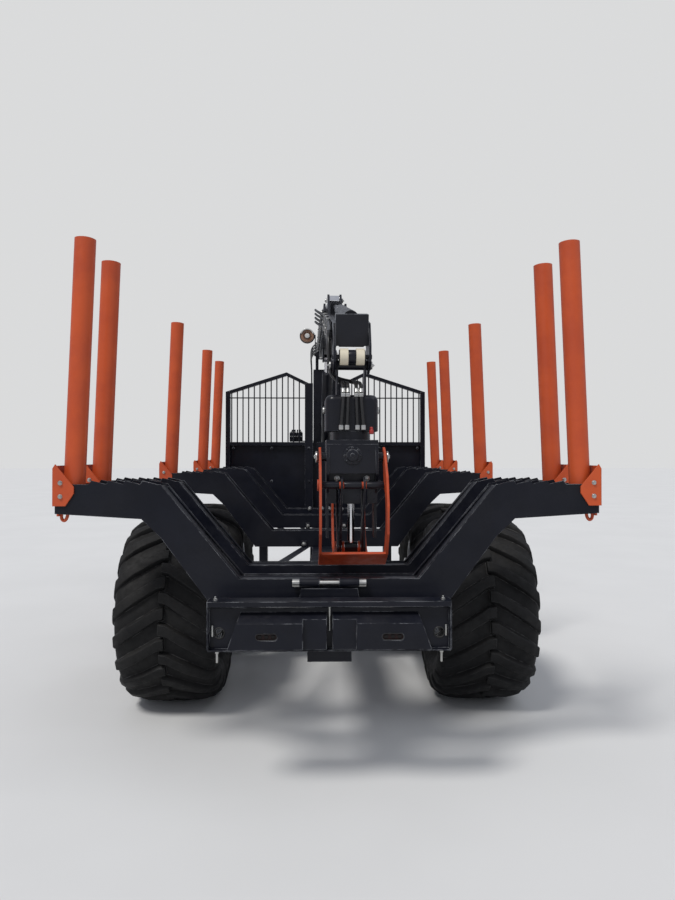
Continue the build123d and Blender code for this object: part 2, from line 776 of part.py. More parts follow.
lever_reach = boom_length + jib_lever * cos(radians(jib_lever_angle))
lever_height = knuckle_z + jib_lever * sin(radians(jib_lever_angle))
jib_root = 60.0
lever = [on_jib(-40, -45), on_jib(66, -30), on_jib(80, 0), on_jib(140, 2), (lever_reach + 55, lever_height + 40),
         (lever_reach - 5, lever_height + 48), (lever_reach - 48, lever_height + 10),
         (lever_reach - 30, lever_height - 40)]
ram_rise = 56.0
ram_tube = 80.0
ram_rod = 40.0
cap_depth_back = 110.0
foot_start = 150.0
foot_end = 190.0
foot_height = 88.0
tube_back = 940.0
tube_front = jib_reach - cap_depth_back - seat_gap
jib = joined(
    hollow(jib_box(jib_root, jib_outer_length, jib_width, jib_depth, rise=-jib_sink),
           jib_box(jib_root + 20, jib_outer_length + 10, jib_width - 2 * jib_wall, jib_depth - 2 * jib_wall,
                   rise=-jib_sink)),
    crane_plate([on_jib(-50, -40), on_jib(40, -80), on_jib(64, -98), on_jib(80, -98), on_jib(80, 2),
                 on_jib(56, 40), on_jib(-50, 40)], -jib_width / 2, jib_width / 2),
    *twin_plates(lever, ram_half + side_gap, cheek),
    jib_box(foot_start, foot_end, 90, foot_height, rise=foot_height / 2),
    rod(crane_point(*on_jib(foot_start + 10, ram_rise)), crane_point(*on_jib(tube_back + 70, ram_rise)), ram_rod),
    jib_box(jib_outer_length - 60, jib_outer_length, jib_width + 6, jib_depth + 8, rise=-jib_sink - 4),
)
jib = hollow(jib, jib_box(jib_outer_length - 90, jib_outer_length + 10,
                          jib_width - 2 * jib_wall, jib_depth - 2 * jib_wall, rise=-jib_sink))
jib = bored(jib, [(boom_length, knuckle_z, jib_pin + 2 * pin_fit)])
save("jib", jib)

# The cylinder that moves the inner jib; its barrel rides on the inner jib, behind the tip cap
save("extension_cylinder", hollow(
    rod(crane_point(*on_jib(tube_back, ram_rise)), crane_point(*on_jib(tube_front, ram_rise)), ram_tube),
    joined(rod(crane_point(*on_jib(tube_back + 40, ram_rise)), crane_point(*on_jib(tube_front - 30, ram_rise)),
               ram_tube - 16),
           rod(crane_point(*on_jib(tube_back - 10, ram_rise)), crane_point(*on_jib(tube_back + 60, ram_rise)),
               ram_rod + 2 * run_gap)),
))

# Telescopic inner jib with its tip bracket; it stands out of the outer jib in the parked pose
inner_start = jib_root + 20 + jib_travel + 10
tip_cap_width = 166.0
tip_cap_depth = 158.0
bracket_plate = 12.0
bracket_half = tip_cap_width / 2
roller_reach = 4945.0
roller_z = 2090.0
roller_diameter = 84.0
roller_width = 42.0
roller_middle = 41.0
saddle_start = 2045.0
saddle_end = jib_reach - cap_depth_back + 5
saddle_top = 60.0
saddle_low = -jib_sink + inner_depth / 2 - 2
tip_plate = [(4800, 2305), (4940, 2262), (4990, 2140), (4985, 2060), (4925, 2030), (4870, 2012),
             (4825, 2015), (4790, 2060)]
tip = joined(
    hollow(jib_box(inner_start, jib_reach - 40, inner_width, inner_depth, rise=-jib_sink),
           jib_box(inner_start - 10, jib_reach - 60, inner_width - 14, inner_depth - 14, rise=-jib_sink)),
    jib_box(jib_reach - cap_depth_back, jib_reach, tip_cap_width, tip_cap_depth),
    *twin_plates(tip_plate, bracket_half, bracket_plate),
    hollow(jib_box(saddle_start, saddle_end, 100, saddle_top - saddle_low, rise=(saddle_top + saddle_low) / 2),
           rod(crane_point(*on_jib(saddle_start - 20, ram_rise)), crane_point(*on_jib(saddle_end + 20, ram_rise)),
               ram_tube + 2 * seat_gap)),
    crane_pin(roller_reach, roller_z, 24, bracket_half + bracket_plate + 6),
)
link_pin = 50.0
tip = bored(tip, [(link_pin_reach, link_pin_z, link_pin + 2 * pin_fit)])
save("jib_extension", tip)
with BuildPart() as rollers:
    for side in (-1, 1):
        with BuildSketch(upright.offset(side * roller_middle - roller_width / 2)):
            with Locations((roller_reach, roller_z)):
                Circle(roller_diameter / 2)
                Circle(12 + seat_gap, mode=Mode.SUBTRACT)
        extrude(amount=roller_width)
save("hose_rollers", rollers.part)

# Hanging link with the rotator's housing
link_half = bracket_half - 6
housing_width = 270.0
housing_depth = 190.0
with BuildPart() as housing:
    with BuildSketch(Plane(origin=crane_point(link_pin_reach, rotor_top_z + 1), x_dir=leftward, z_dir=(0, 0, 1))):
        RectangleRounded(housing_width, housing_depth, 45)
    extrude(amount=rotator_top_z - rotor_top_z - 1)
    fillet(housing.faces().sort_by(Axis.Z)[-1].edges(), 30)
arm = [(link_pin_reach - 36, rotator_top_z - 20), (link_pin_reach + 36, rotator_top_z - 20),
       (link_pin_reach + 32, link_pin_z + 22), (link_pin_reach + 18, link_pin_z + 36),
       (link_pin_reach - 18, link_pin_z + 36), (link_pin_reach - 32, link_pin_z + 22)]
spindle_diameter = 60.0
spindle_rise = 60.0
link_top = joined(
    housing.part, *twin_plates(arm, link_half - 10, 10),
    crane_pin(link_pin_reach, link_pin_z, link_pin, bracket_half + bracket_plate + 10),
)
save("tip_link", hollow(link_top, rod(
    crane_point(link_pin_reach, rotor_top_z), crane_point(link_pin_reach, rotor_top_z + spindle_rise + 10),
    spindle_diameter + 2 * pin_fit)))

# Grapple frame, turning under the housing, with its upright cylinder
centre_reach = link_pin_reach
barrel_diameter = 90.0
barrel_low_z = 1345.0
grapple_rod = 34.0
claw_pin = 44.0
frame_plate = 14.0


def grapple_plate(points, left_from, left_to):
    """A plate whose outline is given from the grapple's own centre line."""
    return crane_plate([(centre_reach + x, z) for x, z in points], left_from, left_to)


def upright_bar(low_z, high_z, diameter):
    """A round bar on the grapple's centre line."""
    return rod(crane_point(centre_reach, low_z), crane_point(centre_reach, high_z), diameter)


side_low_z = 1170.0
cover = [(120, 1502), (131, 1502), (131, frame_top_z - 22), (120, frame_top_z - 22)]
frame_side = [(-130, frame_top_z - 22), (-140, claw_pivot_z - 20), (-70, barrel_low_z + 30), (-45, barrel_low_z),
              (-38, side_low_z), (38, side_low_z), (45, barrel_low_z), (70, barrel_low_z + 30), (118, 1455),
              (140, 1500), (140, claw_pivot_z - 20), (130, frame_top_z - 22)]
face = [(74, barrel_low_z + 112), (86, barrel_low_z + 112), (86, frame_top_z - 22), (74, frame_top_z - 22)]
face_half = 70.0
face_low = [(74, barrel_low_z + 5), (86, barrel_low_z + 5), (86, barrel_low_z + 113), (74, barrel_low_z + 113)]
link_slot_inner = 46.0
link_slot_outer = 79.0
grapple_frame = joined(
    upright_bar(frame_top_z, rotor_top_z, 200),
    upright_bar(rotor_top_z - 5, rotor_top_z + spindle_rise, spindle_diameter),
    grapple_plate([(-130, frame_top_z - 24), (130, frame_top_z - 24), (130, frame_top_z), (-130, frame_top_z)],
                  -frame_half_width, frame_half_width),
    grapple_plate(frame_side, frame_half_width - frame_plate, frame_half_width),
    grapple_plate(frame_side, -frame_half_width, -frame_half_width + frame_plate),
    grapple_plate([(-x, z) for x, z in face], -face_half, face_half),
    *[grapple_plate(face, s * link_slot_outer, s * (frame_half_width - 2)) for s in (-1, 1)],
    *[grapple_plate(face_low, s * link_slot_outer, s * (frame_half_width - 2)) for s in (-1, 1)],
    grapple_plate(face, -link_slot_outer, link_slot_outer),
    grapple_plate(cover, -frame_half_width + 2, frame_half_width - 2),
    grapple_plate(face_low, -link_slot_inner, link_slot_inner),
    hollow(upright_bar(barrel_low_z, frame_top_z - 10, barrel_diameter),
           joined(upright_bar(barrel_low_z + 40, frame_top_z - 30, barrel_diameter - 16),
                  upright_bar(barrel_low_z - 10, barrel_low_z + 60, grapple_rod + 2 * run_gap))),
    *[crane_pin(centre_reach + s * claw_pivot_reach, claw_pivot_z, claw_pin, outer_claw_half + 8)
      for s in (-1, 1)],
)
save("grapple_frame", grapple_frame)

cross_pin = 28.0
save("crosshead", joined(
    upright_bar(crosshead_z, barrel_low_z + 95, grapple_rod),
    crane_pin(centre_reach, crosshead_z, 54, 46),
    crane_pin(centre_reach, crosshead_z, cross_pin, 74),
))

# Claws: side plates, a tip plate between them and a bar for the links
claw_bar = 34.0
link_play = 15.5
ClawSize = namedtuple("ClawSize", "name side half lift")
claw_sizes = [ClawSize("claw_rear", 1, outer_claw_half, 0.0), ClawSize("claw_front", -1, inner_claw_half, 26.0)]
claw_plate = 12.0
for claw in claw_sizes:
    s = claw.side
    blade = [(62, 1618), (88, 1634), (142, 1604), (240, 1490), (286, 1350), (278, 1215), (218, 1112),
             (92, grapple_low_z + 12 + claw.lift), (-20, grapple_low_z + claw.lift),
             (-20, grapple_low_z + 14 + claw.lift), (88, grapple_low_z + 40 + claw.lift), (170, 1165),
             (212, 1250), (214, 1340), (176, 1435), (120, 1500), (60, 1545)]
    tip_sheet = [(218, 1112), (92, grapple_low_z + 12 + claw.lift), (-20, grapple_low_z + claw.lift),
                 (-20, grapple_low_z + 12 + claw.lift), (86, grapple_low_z + 26 + claw.lift), (206, 1122)]
    blade = [(s * x, z) for x, z in blade]
    tip_sheet = [(s * x, z) for x, z in tip_sheet]
    bar_reach = centre_reach + s * link_boss_reach
    ear = [(s * 100, 1520), (s * 135, 1425), (s * 165, 1415), (s * 200, 1440), (s * 190, 1480)]
    shape = joined(
        grapple_plate(blade, claw.half - claw_plate, claw.half),
        grapple_plate(blade, -claw.half, -claw.half + claw_plate),
        grapple_plate(ear, claw.half - claw_plate, claw.half),
        grapple_plate(ear, -claw.half, -claw.half + claw_plate),
        grapple_plate(tip_sheet, -claw.half + claw_plate / 2, claw.half - claw_plate / 2),
        crane_pin(bar_reach, link_boss_z, claw_bar, claw.half - claw_plate / 2),
    )
    shape = bored(shape, [(centre_reach + s * claw_pivot_reach, claw_pivot_z, claw_pin + 2 * pin_fit)])
    save(claw.name, shape)

LinkPlace = namedtuple("LinkPlace", "name side left")
for place in [LinkPlace("claw_link_rear", 1, 56.0), LinkPlace("claw_link_front", -1, 68.5)]:
    low = (centre_reach, crosshead_z)
    high = (centre_reach + place.side * link_boss_reach, link_boss_z)
    with BuildPart() as links:
        for hand in (-1, 1):
            with BuildSketch(upright.offset(hand * place.left)):
                middle = ((low[0] + high[0]) / 2, (low[1] + high[1]) / 2)
                reach = hypot(high[0] - low[0], high[1] - low[1])
                with Locations(Location(middle, degrees(atan2(high[1] - low[1], high[0] - low[0])))):
                    SlotCenterToCenter(reach, 2 * (claw_bar / 2 + link_play + 7))
                with Locations(low):
                    Circle(cross_pin / 2 + pin_fit, mode=Mode.SUBTRACT)
                with Locations(high):
                    Circle(claw_bar / 2 + link_play, mode=Mode.SUBTRACT)
            extrude(amount=5, both=True)
    save(place.name, links.part)

# The crane's two long cylinders
lift_ram = Ram(crane_point(lift_foot_reach, lift_foot_z), crane_point(lift_eye_reach, lift_eye_z),
                     leftward, 1065.0, 120.0, 70.0, 2 * ram_half)
jib_ram = Ram(crane_point(jib_foot_reach, jib_foot_z), crane_point(lever_reach, lever_height),
                    leftward, 1010.0, 96.0, 55.0, 2 * ram_half)
save("lift_cylinder", make_barrel(lift_ram))
save("lift_rod", make_rod(lift_ram, 940.0))
save("jib_cylinder", make_barrel(jib_ram))
save("jib_rod", make_rod(jib_ram, 500.0))

# Telescopic rear end of the beam, sliding inside the main beam
extension_width = beam_width - 2 * beam_wall - 2 * extension_clearance
extension_depth = beam_depth - 2 * beam_wall - 2 * extension_clearance
extension_top_z = beam_mid_z + extension_depth / 2
extension_rear_station = 100.0
saddle_half = 80.0
extension_beam = joined(
    hollow(block((-extension_width / 2, y_at(extension_rear_station), extension_top_z - extension_depth),
                 (extension_width / 2, y_at(beam_rear_station + extension_reach), extension_top_z)),
           block((-extension_width / 2 + 8, y_at(extension_rear_station + 8), extension_top_z - extension_depth + 8),
                 (extension_width / 2 - 8, y_at(beam_rear_station + extension_reach + 10), extension_top_z - 8))),
    block((-extension_width / 2, y_at(rear_bunk_station - saddle_half), extension_top_z - 2),
          (extension_width / 2, y_at(rear_bunk_station + saddle_half), beam_top_z)),
)
save("extension_beam", extension_beam)

# Lamp panel: back plate, top flange, two lamp boxes with sloped tops, and two middle plates
panel_plate = 8.0
flange_front_station = 110.0
middle_gap = 13.5
slot_depth = 26.0


def cross_plate(points, station_from, station_to):
    """An upright plate across the trailer, outlined in X and Z."""
    with BuildPart() as solid:
        with BuildSketch(Plane.XZ.offset(-y_at(station_to))):
            with BuildLine():
                Polyline(*points, close=True)
            make_face()
        extrude(amount=station_to - station_from)
    return solid.part


def mirrored(points, side):
    """The same outline on one side or the other."""
    return [(side * x, z) for x, z in points]


lamp_box = [(lamp_box_inner_x, lamp_box_low_z), (lamp_box_outer_x, lamp_box_low_z),
            (lamp_box_top_outer_x, lamp_box_top_z), (lamp_box_inner_x, lamp_box_top_z)]
with BuildPart() as panel:
    add(cross_plate([(-panel_half, panel_low_z), (panel_half, panel_low_z), (panel_half, panel_high_z),
                     (-panel_half, panel_high_z)], panel_station, panel_station + panel_plate))
    for side in (-1, 1):
        add(cross_plate(mirrored(lamp_box, side), 0, panel_station))
        add(cross_plate(mirrored([(middle_gap, panel_low_z + 4), (lamp_box_inner_x, panel_low_z + 4),
                                  (lamp_box_inner_x, lamp_box_top_z), (middle_gap, lamp_box_top_z)], side),
                        22, panel_station))
        add(block((side * panel_half - 4, y_at(30), panel_low_z),
                  (side * panel_half + 4, y_at(flange_front_station), flange_high_z)))
        add(block((side * 75 - 15, y_at(panel_station), lamp_box_face_z - 100),
                  (side * 75 + 15, y_at(extension_rear_station), lamp_box_face_z)))
    add(block((-panel_half, y_at(20), flange_low_z + 14),
              (panel_half, y_at(flange_front_station), flange_high_z)))
    add(block((-panel_half, y_at(20), flange_low_z), (panel_half, y_at(28), flange_high_z)))
    add(block((-panel_half, y_at(30), panel_low_z - 6), (panel_half, y_at(panel_station + 8), panel_low_z)))
    with BuildSketch(Plane.YZ):
        with BuildLine():
            Polyline((y_at(-1), lamp_box_face_z), (y_at(panel_station), lamp_box_top_z),
                     (y_at(panel_station), lamp_box_top_z + 10), (y_at(-1), lamp_box_top_z + 10), close=True)
        make_face()
    extrude(amount=lamp_box_outer_x + 10, both=True, mode=Mode.SUBTRACT)
    with BuildSketch(Plane.XZ.offset(-y_at(slot_depth))):
        with Locations((-lamp_x, lamp_z), (lamp_x, lamp_z)):
            SlotOverall(lamp_length, lamp_height)
    extrude(amount=slot_depth + 10, mode=Mode.SUBTRACT)
    with BuildSketch(Plane.XZ.offset(-y_at(panel_station + panel_plate))):
        with Locations((-497, lamp_z + 4), (497, lamp_z + 4)):
            Circle(24)
    extrude(amount=panel_plate + 2, mode=Mode.SUBTRACT)
save("lamp_panel", panel.part)
with BuildPart() as lamps:
    with BuildSketch(Plane.XZ.offset(-y_at(slot_depth))):
        with Locations((-lamp_x, lamp_z), (lamp_x, lamp_z)):
            SlotOverall(lamp_length - 2 * seat_gap, lamp_height - 2 * seat_gap)
    extrude(amount=slot_depth - 8)
    fillet(lamps.faces().filter_by(Axis.Y).sort_by(Axis.Y)[:2].edges(), 4)
save("rear_lamps", lamps.part)

# Stake-strap pin across the rear bunk: a bright pin in two dark sleeves over a wedge block
latch_station = rear_bunk_station - bunk_depth / 2 - 24
latch_z = 990.0
latch_pin_diameter = 26.0
sleeve_diameter = 44.0
sleeve_inner_x = 47.0
sleeve_outer_x = 141.0
latch_end_x = 174.0
wedge = [(-142, 918), (142, 918), (134, 966), (-134, 966)]
bunk_face_station = rear_bunk_station - bunk_depth / 2
save("latch_block", joined(
    cross_plate(wedge, bunk_face_station - 38, bunk_face_station),
    *[hollow(joined(rod((s * sleeve_inner_x, y_at(latch_station), latch_z),
                        (s * sleeve_outer_x, y_at(latch_station), latch_z), sleeve_diameter),
                    block((s * 94 - 36, y_at(latch_station), latch_z - 30),
                          (s * 94 + 36, y_at(bunk_face_station), latch_z + 10)),
                    block((s * 94 - 36, y_at(latch_station), 960), (s * 94 + 36, y_at(bunk_face_station), latch_z))),
             rod((s * (sleeve_inner_x - 5), y_at(latch_station), latch_z),
                 (s * (sleeve_outer_x + 5), y_at(latch_station), latch_z), latch_pin_diameter + 2 * seat_gap))
      for s in (-1, 1)],
))
hanger_station = 45.0
save("latch_pin", joined(
    rod((-latch_end_x, y_at(latch_station), latch_z), (latch_end_x, y_at(latch_station), latch_z),
        latch_pin_diameter),
    rod((-latch_end_x, y_at(latch_station), latch_z), (-sleeve_outer_x - seat_gap, y_at(latch_station), latch_z), 38),
    rod((sleeve_outer_x + seat_gap, y_at(latch_station), latch_z), (latch_end_x, y_at(latch_station), latch_z), 38),
    rod((0, y_at(hanger_station), 806), (0, y_at(hanger_station), flange_low_z + 14), 9),
))

# Headboard: a sheet below, an open frame of round rods above, with a slot for the boom's cylinder
head_sheet_station = head_station + head_post_depth
head_half = head_width / 2
head_tube = 50.0
rail_depth = 40.0
post_x = head_slot_half + head_post_width / 2
slope = (head_peak_z - head_outer_z) / (head_half - head_peak_x)


def head_top_z(x):
    """Height of the headboard's top edge, from the outer post up to the peak and down to the slot post."""
    if x > head_peak_x:
        return head_peak_z - slope * (x - head_peak_x)
    run = (head_peak_x - x) / (head_peak_x - post_x)
    return head_peak_z - run * (head_peak_z - head_post_top_z)


with BuildPart() as headboard:
    add(block((-240, y_at(head_station), beam_top_z), (240, y_at(head_sheet_station), head_low_z + 50)))
    add(block((-head_half, y_at(head_station), head_low_z), (head_half, y_at(head_sheet_station), head_low_z + 50)))
    for side in (-1, 1):
        add(cross_plate(mirrored([(head_slot_half, head_low_z), (head_slot_half + head_post_width, head_low_z),
                                  (head_slot_half + head_post_width, head_post_top_z),
                                  (head_slot_half, head_post_top_z)], side), head_station, head_sheet_station))
        add(cross_plate(mirrored([(head_half - head_tube, head_low_z), (head_half, head_low_z),
                                  (head_half, head_outer_z), (head_half - head_tube, head_outer_z)], side),
                        head_station, head_sheet_station))
        top = [(head_half, head_outer_z), (head_peak_x, head_peak_z), (head_slot_half, head_top_z(head_slot_half)),
               (head_slot_half, head_top_z(head_slot_half) - rail_depth), (head_peak_x, head_peak_z - rail_depth),
               (head_half, head_outer_z - rail_depth)]
        add(cross_plate(mirrored(top, side), head_station + 5, head_sheet_station - 5))
        add(cross_plate(mirrored([(head_slot_half, head_sheet_top_z - 40), (head_half, head_sheet_top_z - 40),
                                  (head_half, head_sheet_top_z), (head_slot_half, head_sheet_top_z)], side),
                        head_station + 10, head_sheet_station))
save("headboard", headboard.part)
save("headboard_sheet", cross_plate(
    [(-head_half, head_low_z), (head_half, head_low_z), (head_half, head_sheet_top_z),
     (-head_half, head_sheet_top_z)], head_sheet_station, head_sheet_station + thin_plate))
rod_station = head_station + head_post_depth / 2
rod_count = int((head_half - head_tube - head_slot_half - head_post_width) // head_rod_pitch)
with BuildPart() as grille:
    for side in (-1, 1):
        for index in range(1, rod_count + 1):
            x = head_slot_half + head_post_width + index * head_rod_pitch
            low = (side * x, y_at(rod_station), head_sheet_top_z + seat_gap)
            high = (side * x, y_at(rod_station), head_top_z(x) - rail_depth + 5)
            add(rod(low, high, head_rod_diameter))
        start = (side * (head_slot_half + head_post_width + seat_gap), y_at(rod_station), head_rail_z)
        stop = (side * (head_half - head_tube - seat_gap), y_at(rod_station), head_rail_z)
        add(rod(start, stop, head_rod_diameter))
        rail_gap = rail_depth + 2 * seat_gap
        above = [(head_slot_half, head_top_z(head_slot_half) - rail_gap), (head_peak_x, head_peak_z - rail_gap),
                 (head_half, head_outer_z - rail_gap), (head_half, head_peak_z), (head_slot_half, head_peak_z)]
        add(cross_plate(mirrored(above, side), head_station, head_sheet_station), mode=Mode.SUBTRACT)
save("headboard_grille", grille.part)

# Work lamp on the column's head, and the crane's valve block on its left side
lamp_left = 225.0
lamp_rise = 3060.0
lamp_foot_z = 2908.0
cheek_outer = 121.0
with BuildPart() as work_lamp:
    lamp_plane = Plane(origin=crane_point(-20, lamp_rise, lamp_left), x_dir=leftward, z_dir=outward)
    with BuildSketch(lamp_plane):
        Circle(62)
    with BuildSketch(lamp_plane.offset(70)):
        Circle(88)
    loft()
    with BuildSketch(lamp_plane.offset(70)):
        Circle(92)
    extrude(amount=26)
    with BuildSketch(lamp_plane.offset(84)):
        Circle(80)
    extrude(amount=20, mode=Mode.SUBTRACT)
    add(crane_plate([(-45, lamp_foot_z), (45, lamp_foot_z), (45, lamp_rise + 20), (-45, lamp_rise + 20)],
                    cheek_outer, cheek_outer + 10))
    add(crane_plate([(-16, lamp_rise - 20), (20, lamp_rise - 20), (20, lamp_rise + 20), (-16, lamp_rise + 20)],
                    cheek_outer + 5, lamp_left - 50))
save("work_lamp", work_lamp.part)
valve_low_z = 1765.0
valve_left = 290.0
spool_pitch = 32.0
with BuildPart() as valve:
    add(crane_plate([(-70, valve_low_z + 10), (70, valve_low_z + 10), (70, valve_low_z + 110),
                     (-70, valve_low_z + 110)], valve_left - 10, valve_left + 150))
    add(crane_plate([(-50, valve_low_z), (50, valve_low_z), (50, valve_low_z + 12), (-50, valve_low_z + 12)],
                    column_width / 2, valve_left + 150))
    for index in range(4):
        left = valve_left + 22 + index * spool_pitch
        add(rod(crane_point(-100, valve_low_z + 60, left), crane_point(100, valve_low_z + 60, left), 22))
        add(rod(crane_point(-40, valve_low_z + 105, left), crane_point(-40, valve_low_z + 150, left), 18))
save("valve_block", valve.part)

# Parking legs: a cross tube under the beam with an upright sleeve at each end
leg_cross_low_z = 500.0
sleeve_wall = leg_tube / 2 - leg_inner_tube / 2 - extension_clearance
leg_y = y_at(leg_station)
with BuildPart() as leg_frame:
    with Locations((0, leg_y, (leg_cross_low_z + beam_low_z) / 2)):
        Box(2 * leg_x, 140, beam_low_z - leg_cross_low_z)
    for side in (-1, 1):
        with Locations((side * leg_x, leg_y, (leg_low_z + leg_high_z) / 2)):
            Box(leg_tube, leg_tube, leg_high_z - leg_low_z)
    for side in (-1, 1):
        with Locations((side * leg_x, leg_y, (leg_low_z + leg_high_z) / 2 - 10)):
            Box(leg_tube - 2 * sleeve_wall, leg_tube - 2 * sleeve_wall, leg_high_z - leg_low_z,
                mode=Mode.SUBTRACT)
save("leg_frame", leg_frame.part)
LegPlace = namedtuple("LegPlace", "name side")
for place in [LegPlace("leg_left", -1), LegPlace("leg_right", 1)]:
    with BuildPart() as leg:
        with BuildSketch(Plane.XY.offset(foot_thickness)):
            with Locations((place.side * leg_x, leg_y)):
                Rectangle(leg_inner_tube, leg_inner_tube)
        extrude(amount=leg_inner_top_z - foot_thickness)
        with BuildSketch(Plane.XY):
            with Locations((place.side * leg_x, leg_y)):
                Circle(foot_diameter / 2)
        extrude(amount=foot_thickness)
        for turn in (0, 90):
            with Locations(Location((place.side * leg_x, leg_y, foot_thickness + 25), (0, 0, turn))):
                Box(foot_diameter - 40, 14, 50)
    save(place.name, leg.part)

# Drawbar with its towing eye, and the two steering cylinders
drawbar_hub = 88.0
hub_low_z = beam_mid_z - drawbar_eye_height / 2
hub_high_z = beam_mid_z + drawbar_eye_height / 2
bar_width = 150.0
nose_width = 90.0
steer_y = y_at(steer_station)
eye_y = y_at(eye_station)
with BuildPart() as drawbar:
    with BuildSketch(Plane.YZ):
        with BuildLine():
            Polyline((steer_y, hub_low_z), (steer_y + 140, hub_low_z), (eye_y - 330, drawbar_z - 60), (eye_y - 35, drawbar_z - eye_height / 2),
                     (eye_y - 35, drawbar_z + eye_height / 2), (eye_y - 330, drawbar_z + 60),
                     (steer_y + 500, hub_high_z - 10), (steer_y, hub_high_z - 10), close=True)
        make_face()
    extrude(amount=bar_width / 2, both=True)
    with BuildSketch(Plane.XY.offset(hub_low_z - 80)):
        with BuildLine():
            Polyline((-bar_width / 2 - 1, steer_y + 700), (-nose_width / 2, eye_y - 330), (-nose_width / 2, eye_y),
                     (-bar_width, eye_y), (-bar_width, steer_y + 700), close=True)
        make_face()
        mirror(about=Plane.YZ)
    extrude(amount=300, mode=Mode.SUBTRACT)
    with BuildSketch(Plane.XY.offset(hub_low_z)):
        with Locations((0, steer_y)):
            Circle(drawbar_hub)
    extrude(amount=drawbar_eye_height)
    with BuildSketch(Plane.XY.offset(drawbar_z - eye_height / 2)):
        with Locations((0, eye_y)):
            Circle(eye_outer / 2)
    extrude(amount=eye_height)
    for side in (-1, 1):
        for rise in (-1, 1):
            level = beam_mid_z + rise * (steer_ram_width / 2 + side_gap + steer_lug / 2)
            with BuildSketch(Plane.XY.offset(level)):
                with BuildLine():
                    Polyline((side * 40, steer_y + 70), (side * (steer_eye_x - 5), steer_y + 78),
                             (side * (steer_eye_x + 38), steer_y + 100), (side * (steer_eye_x + 38), steer_y + 150),
                             (side * (steer_eye_x - 5), steer_y + 175), (side * 40, steer_y + 300), close=True)
                make_face()
            extrude(amount=steer_lug / 2, both=True)
            with BuildSketch(Plane.XY.offset(beam_mid_z + rise * (steer_ram_width / 2 + side_gap))):
                with Locations((side * steer_eye_x, y_at(steer_eye_station))):
                    Circle(steer_pin_small / 2)
            extrude(amount=rise * (steer_lug + 6))
    with BuildSketch(Plane.XY.offset(hub_low_z - 10)):
        with Locations((0, steer_y)):
            Circle(steer_pin_diameter / 2 + pin_fit)
    extrude(amount=drawbar_eye_height + 20, mode=Mode.SUBTRACT)
    with BuildSketch(Plane.XY.offset(drawbar_z - eye_height)):
        with Locations((0, eye_y)):
            Circle(eye_bore / 2)
    extrude(amount=2 * eye_height, mode=Mode.SUBTRACT)
save("drawbar", drawbar.part)
for place in [LegPlace("left", -1), LegPlace("right", 1)]:
    ram = Ram(Vector(place.side * steer_foot_x, y_at(steer_foot_station), beam_mid_z),
              Vector(place.side * steer_eye_x, y_at(steer_eye_station), beam_mid_z),
              Vector(0, 0, 1), 455.0, 66.0, 36.0, steer_ram_width)
    save(f"steer_cylinder_{place.name}", make_barrel(ram))
    save(f"steer_rod_{place.name}", make_rod(ram, 300.0))
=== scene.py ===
"""Dresses the timber trailer: paint, tyres, hoses, bolts, lamps and the studio round it."""
import logging
import math
from dataclasses import dataclass, field
from enum import Enum
from itertools import product
from typing import Callable, Dict, Iterable, List, Optional, Sequence, Tuple

import bpy
from mathutils import Matrix, Vector


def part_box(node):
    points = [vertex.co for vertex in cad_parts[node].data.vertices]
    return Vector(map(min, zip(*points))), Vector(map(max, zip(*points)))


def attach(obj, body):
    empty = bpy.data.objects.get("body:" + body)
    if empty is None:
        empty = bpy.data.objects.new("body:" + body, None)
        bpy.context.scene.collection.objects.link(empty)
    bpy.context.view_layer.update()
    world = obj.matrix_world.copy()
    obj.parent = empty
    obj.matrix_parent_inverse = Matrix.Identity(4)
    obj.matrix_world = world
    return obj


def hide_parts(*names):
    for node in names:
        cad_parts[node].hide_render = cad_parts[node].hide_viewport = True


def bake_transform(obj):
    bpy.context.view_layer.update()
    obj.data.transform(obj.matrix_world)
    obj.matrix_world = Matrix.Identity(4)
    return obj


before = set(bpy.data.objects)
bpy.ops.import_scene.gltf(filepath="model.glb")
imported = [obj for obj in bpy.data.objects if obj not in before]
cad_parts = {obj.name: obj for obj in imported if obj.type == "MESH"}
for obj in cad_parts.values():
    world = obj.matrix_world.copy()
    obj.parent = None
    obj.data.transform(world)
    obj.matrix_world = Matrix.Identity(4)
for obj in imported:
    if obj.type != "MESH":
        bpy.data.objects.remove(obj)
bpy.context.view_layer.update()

Numbers = Tuple[float, ...]
Pairs = Tuple[Tuple[float, float], ...]
Triple = Tuple[float, float, float]
Piece = bpy.types.Object
Socket = bpy.types.NodeSocket
LOG = logging.getLogger("trailer")

UP = (0, 0, 1)
MIRROR_X = Matrix.Scale(-1, 4, (1, 0, 0))
DUST_DULLING = 0.45
COAT_ROUGHNESS = 0.12
BUMP_DEPTH = 0.002
ROUND_ANGLE = math.radians(35.0)
REAR_FACE_Y = -3.7025


class Hand(Enum):
    """A side of the trailer, seen from behind."""

    LEFT = -1
    RIGHT = 1


SIDES = tuple(hand.value for hand in Hand)


class Slot(Enum):
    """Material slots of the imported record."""

    BLACK = "black_paint"
    ORANGE = "orange_paint"
    TYRE = "tyre_rubber"
    STEEL = "bare_steel"
    LAMP = "lamp_red"


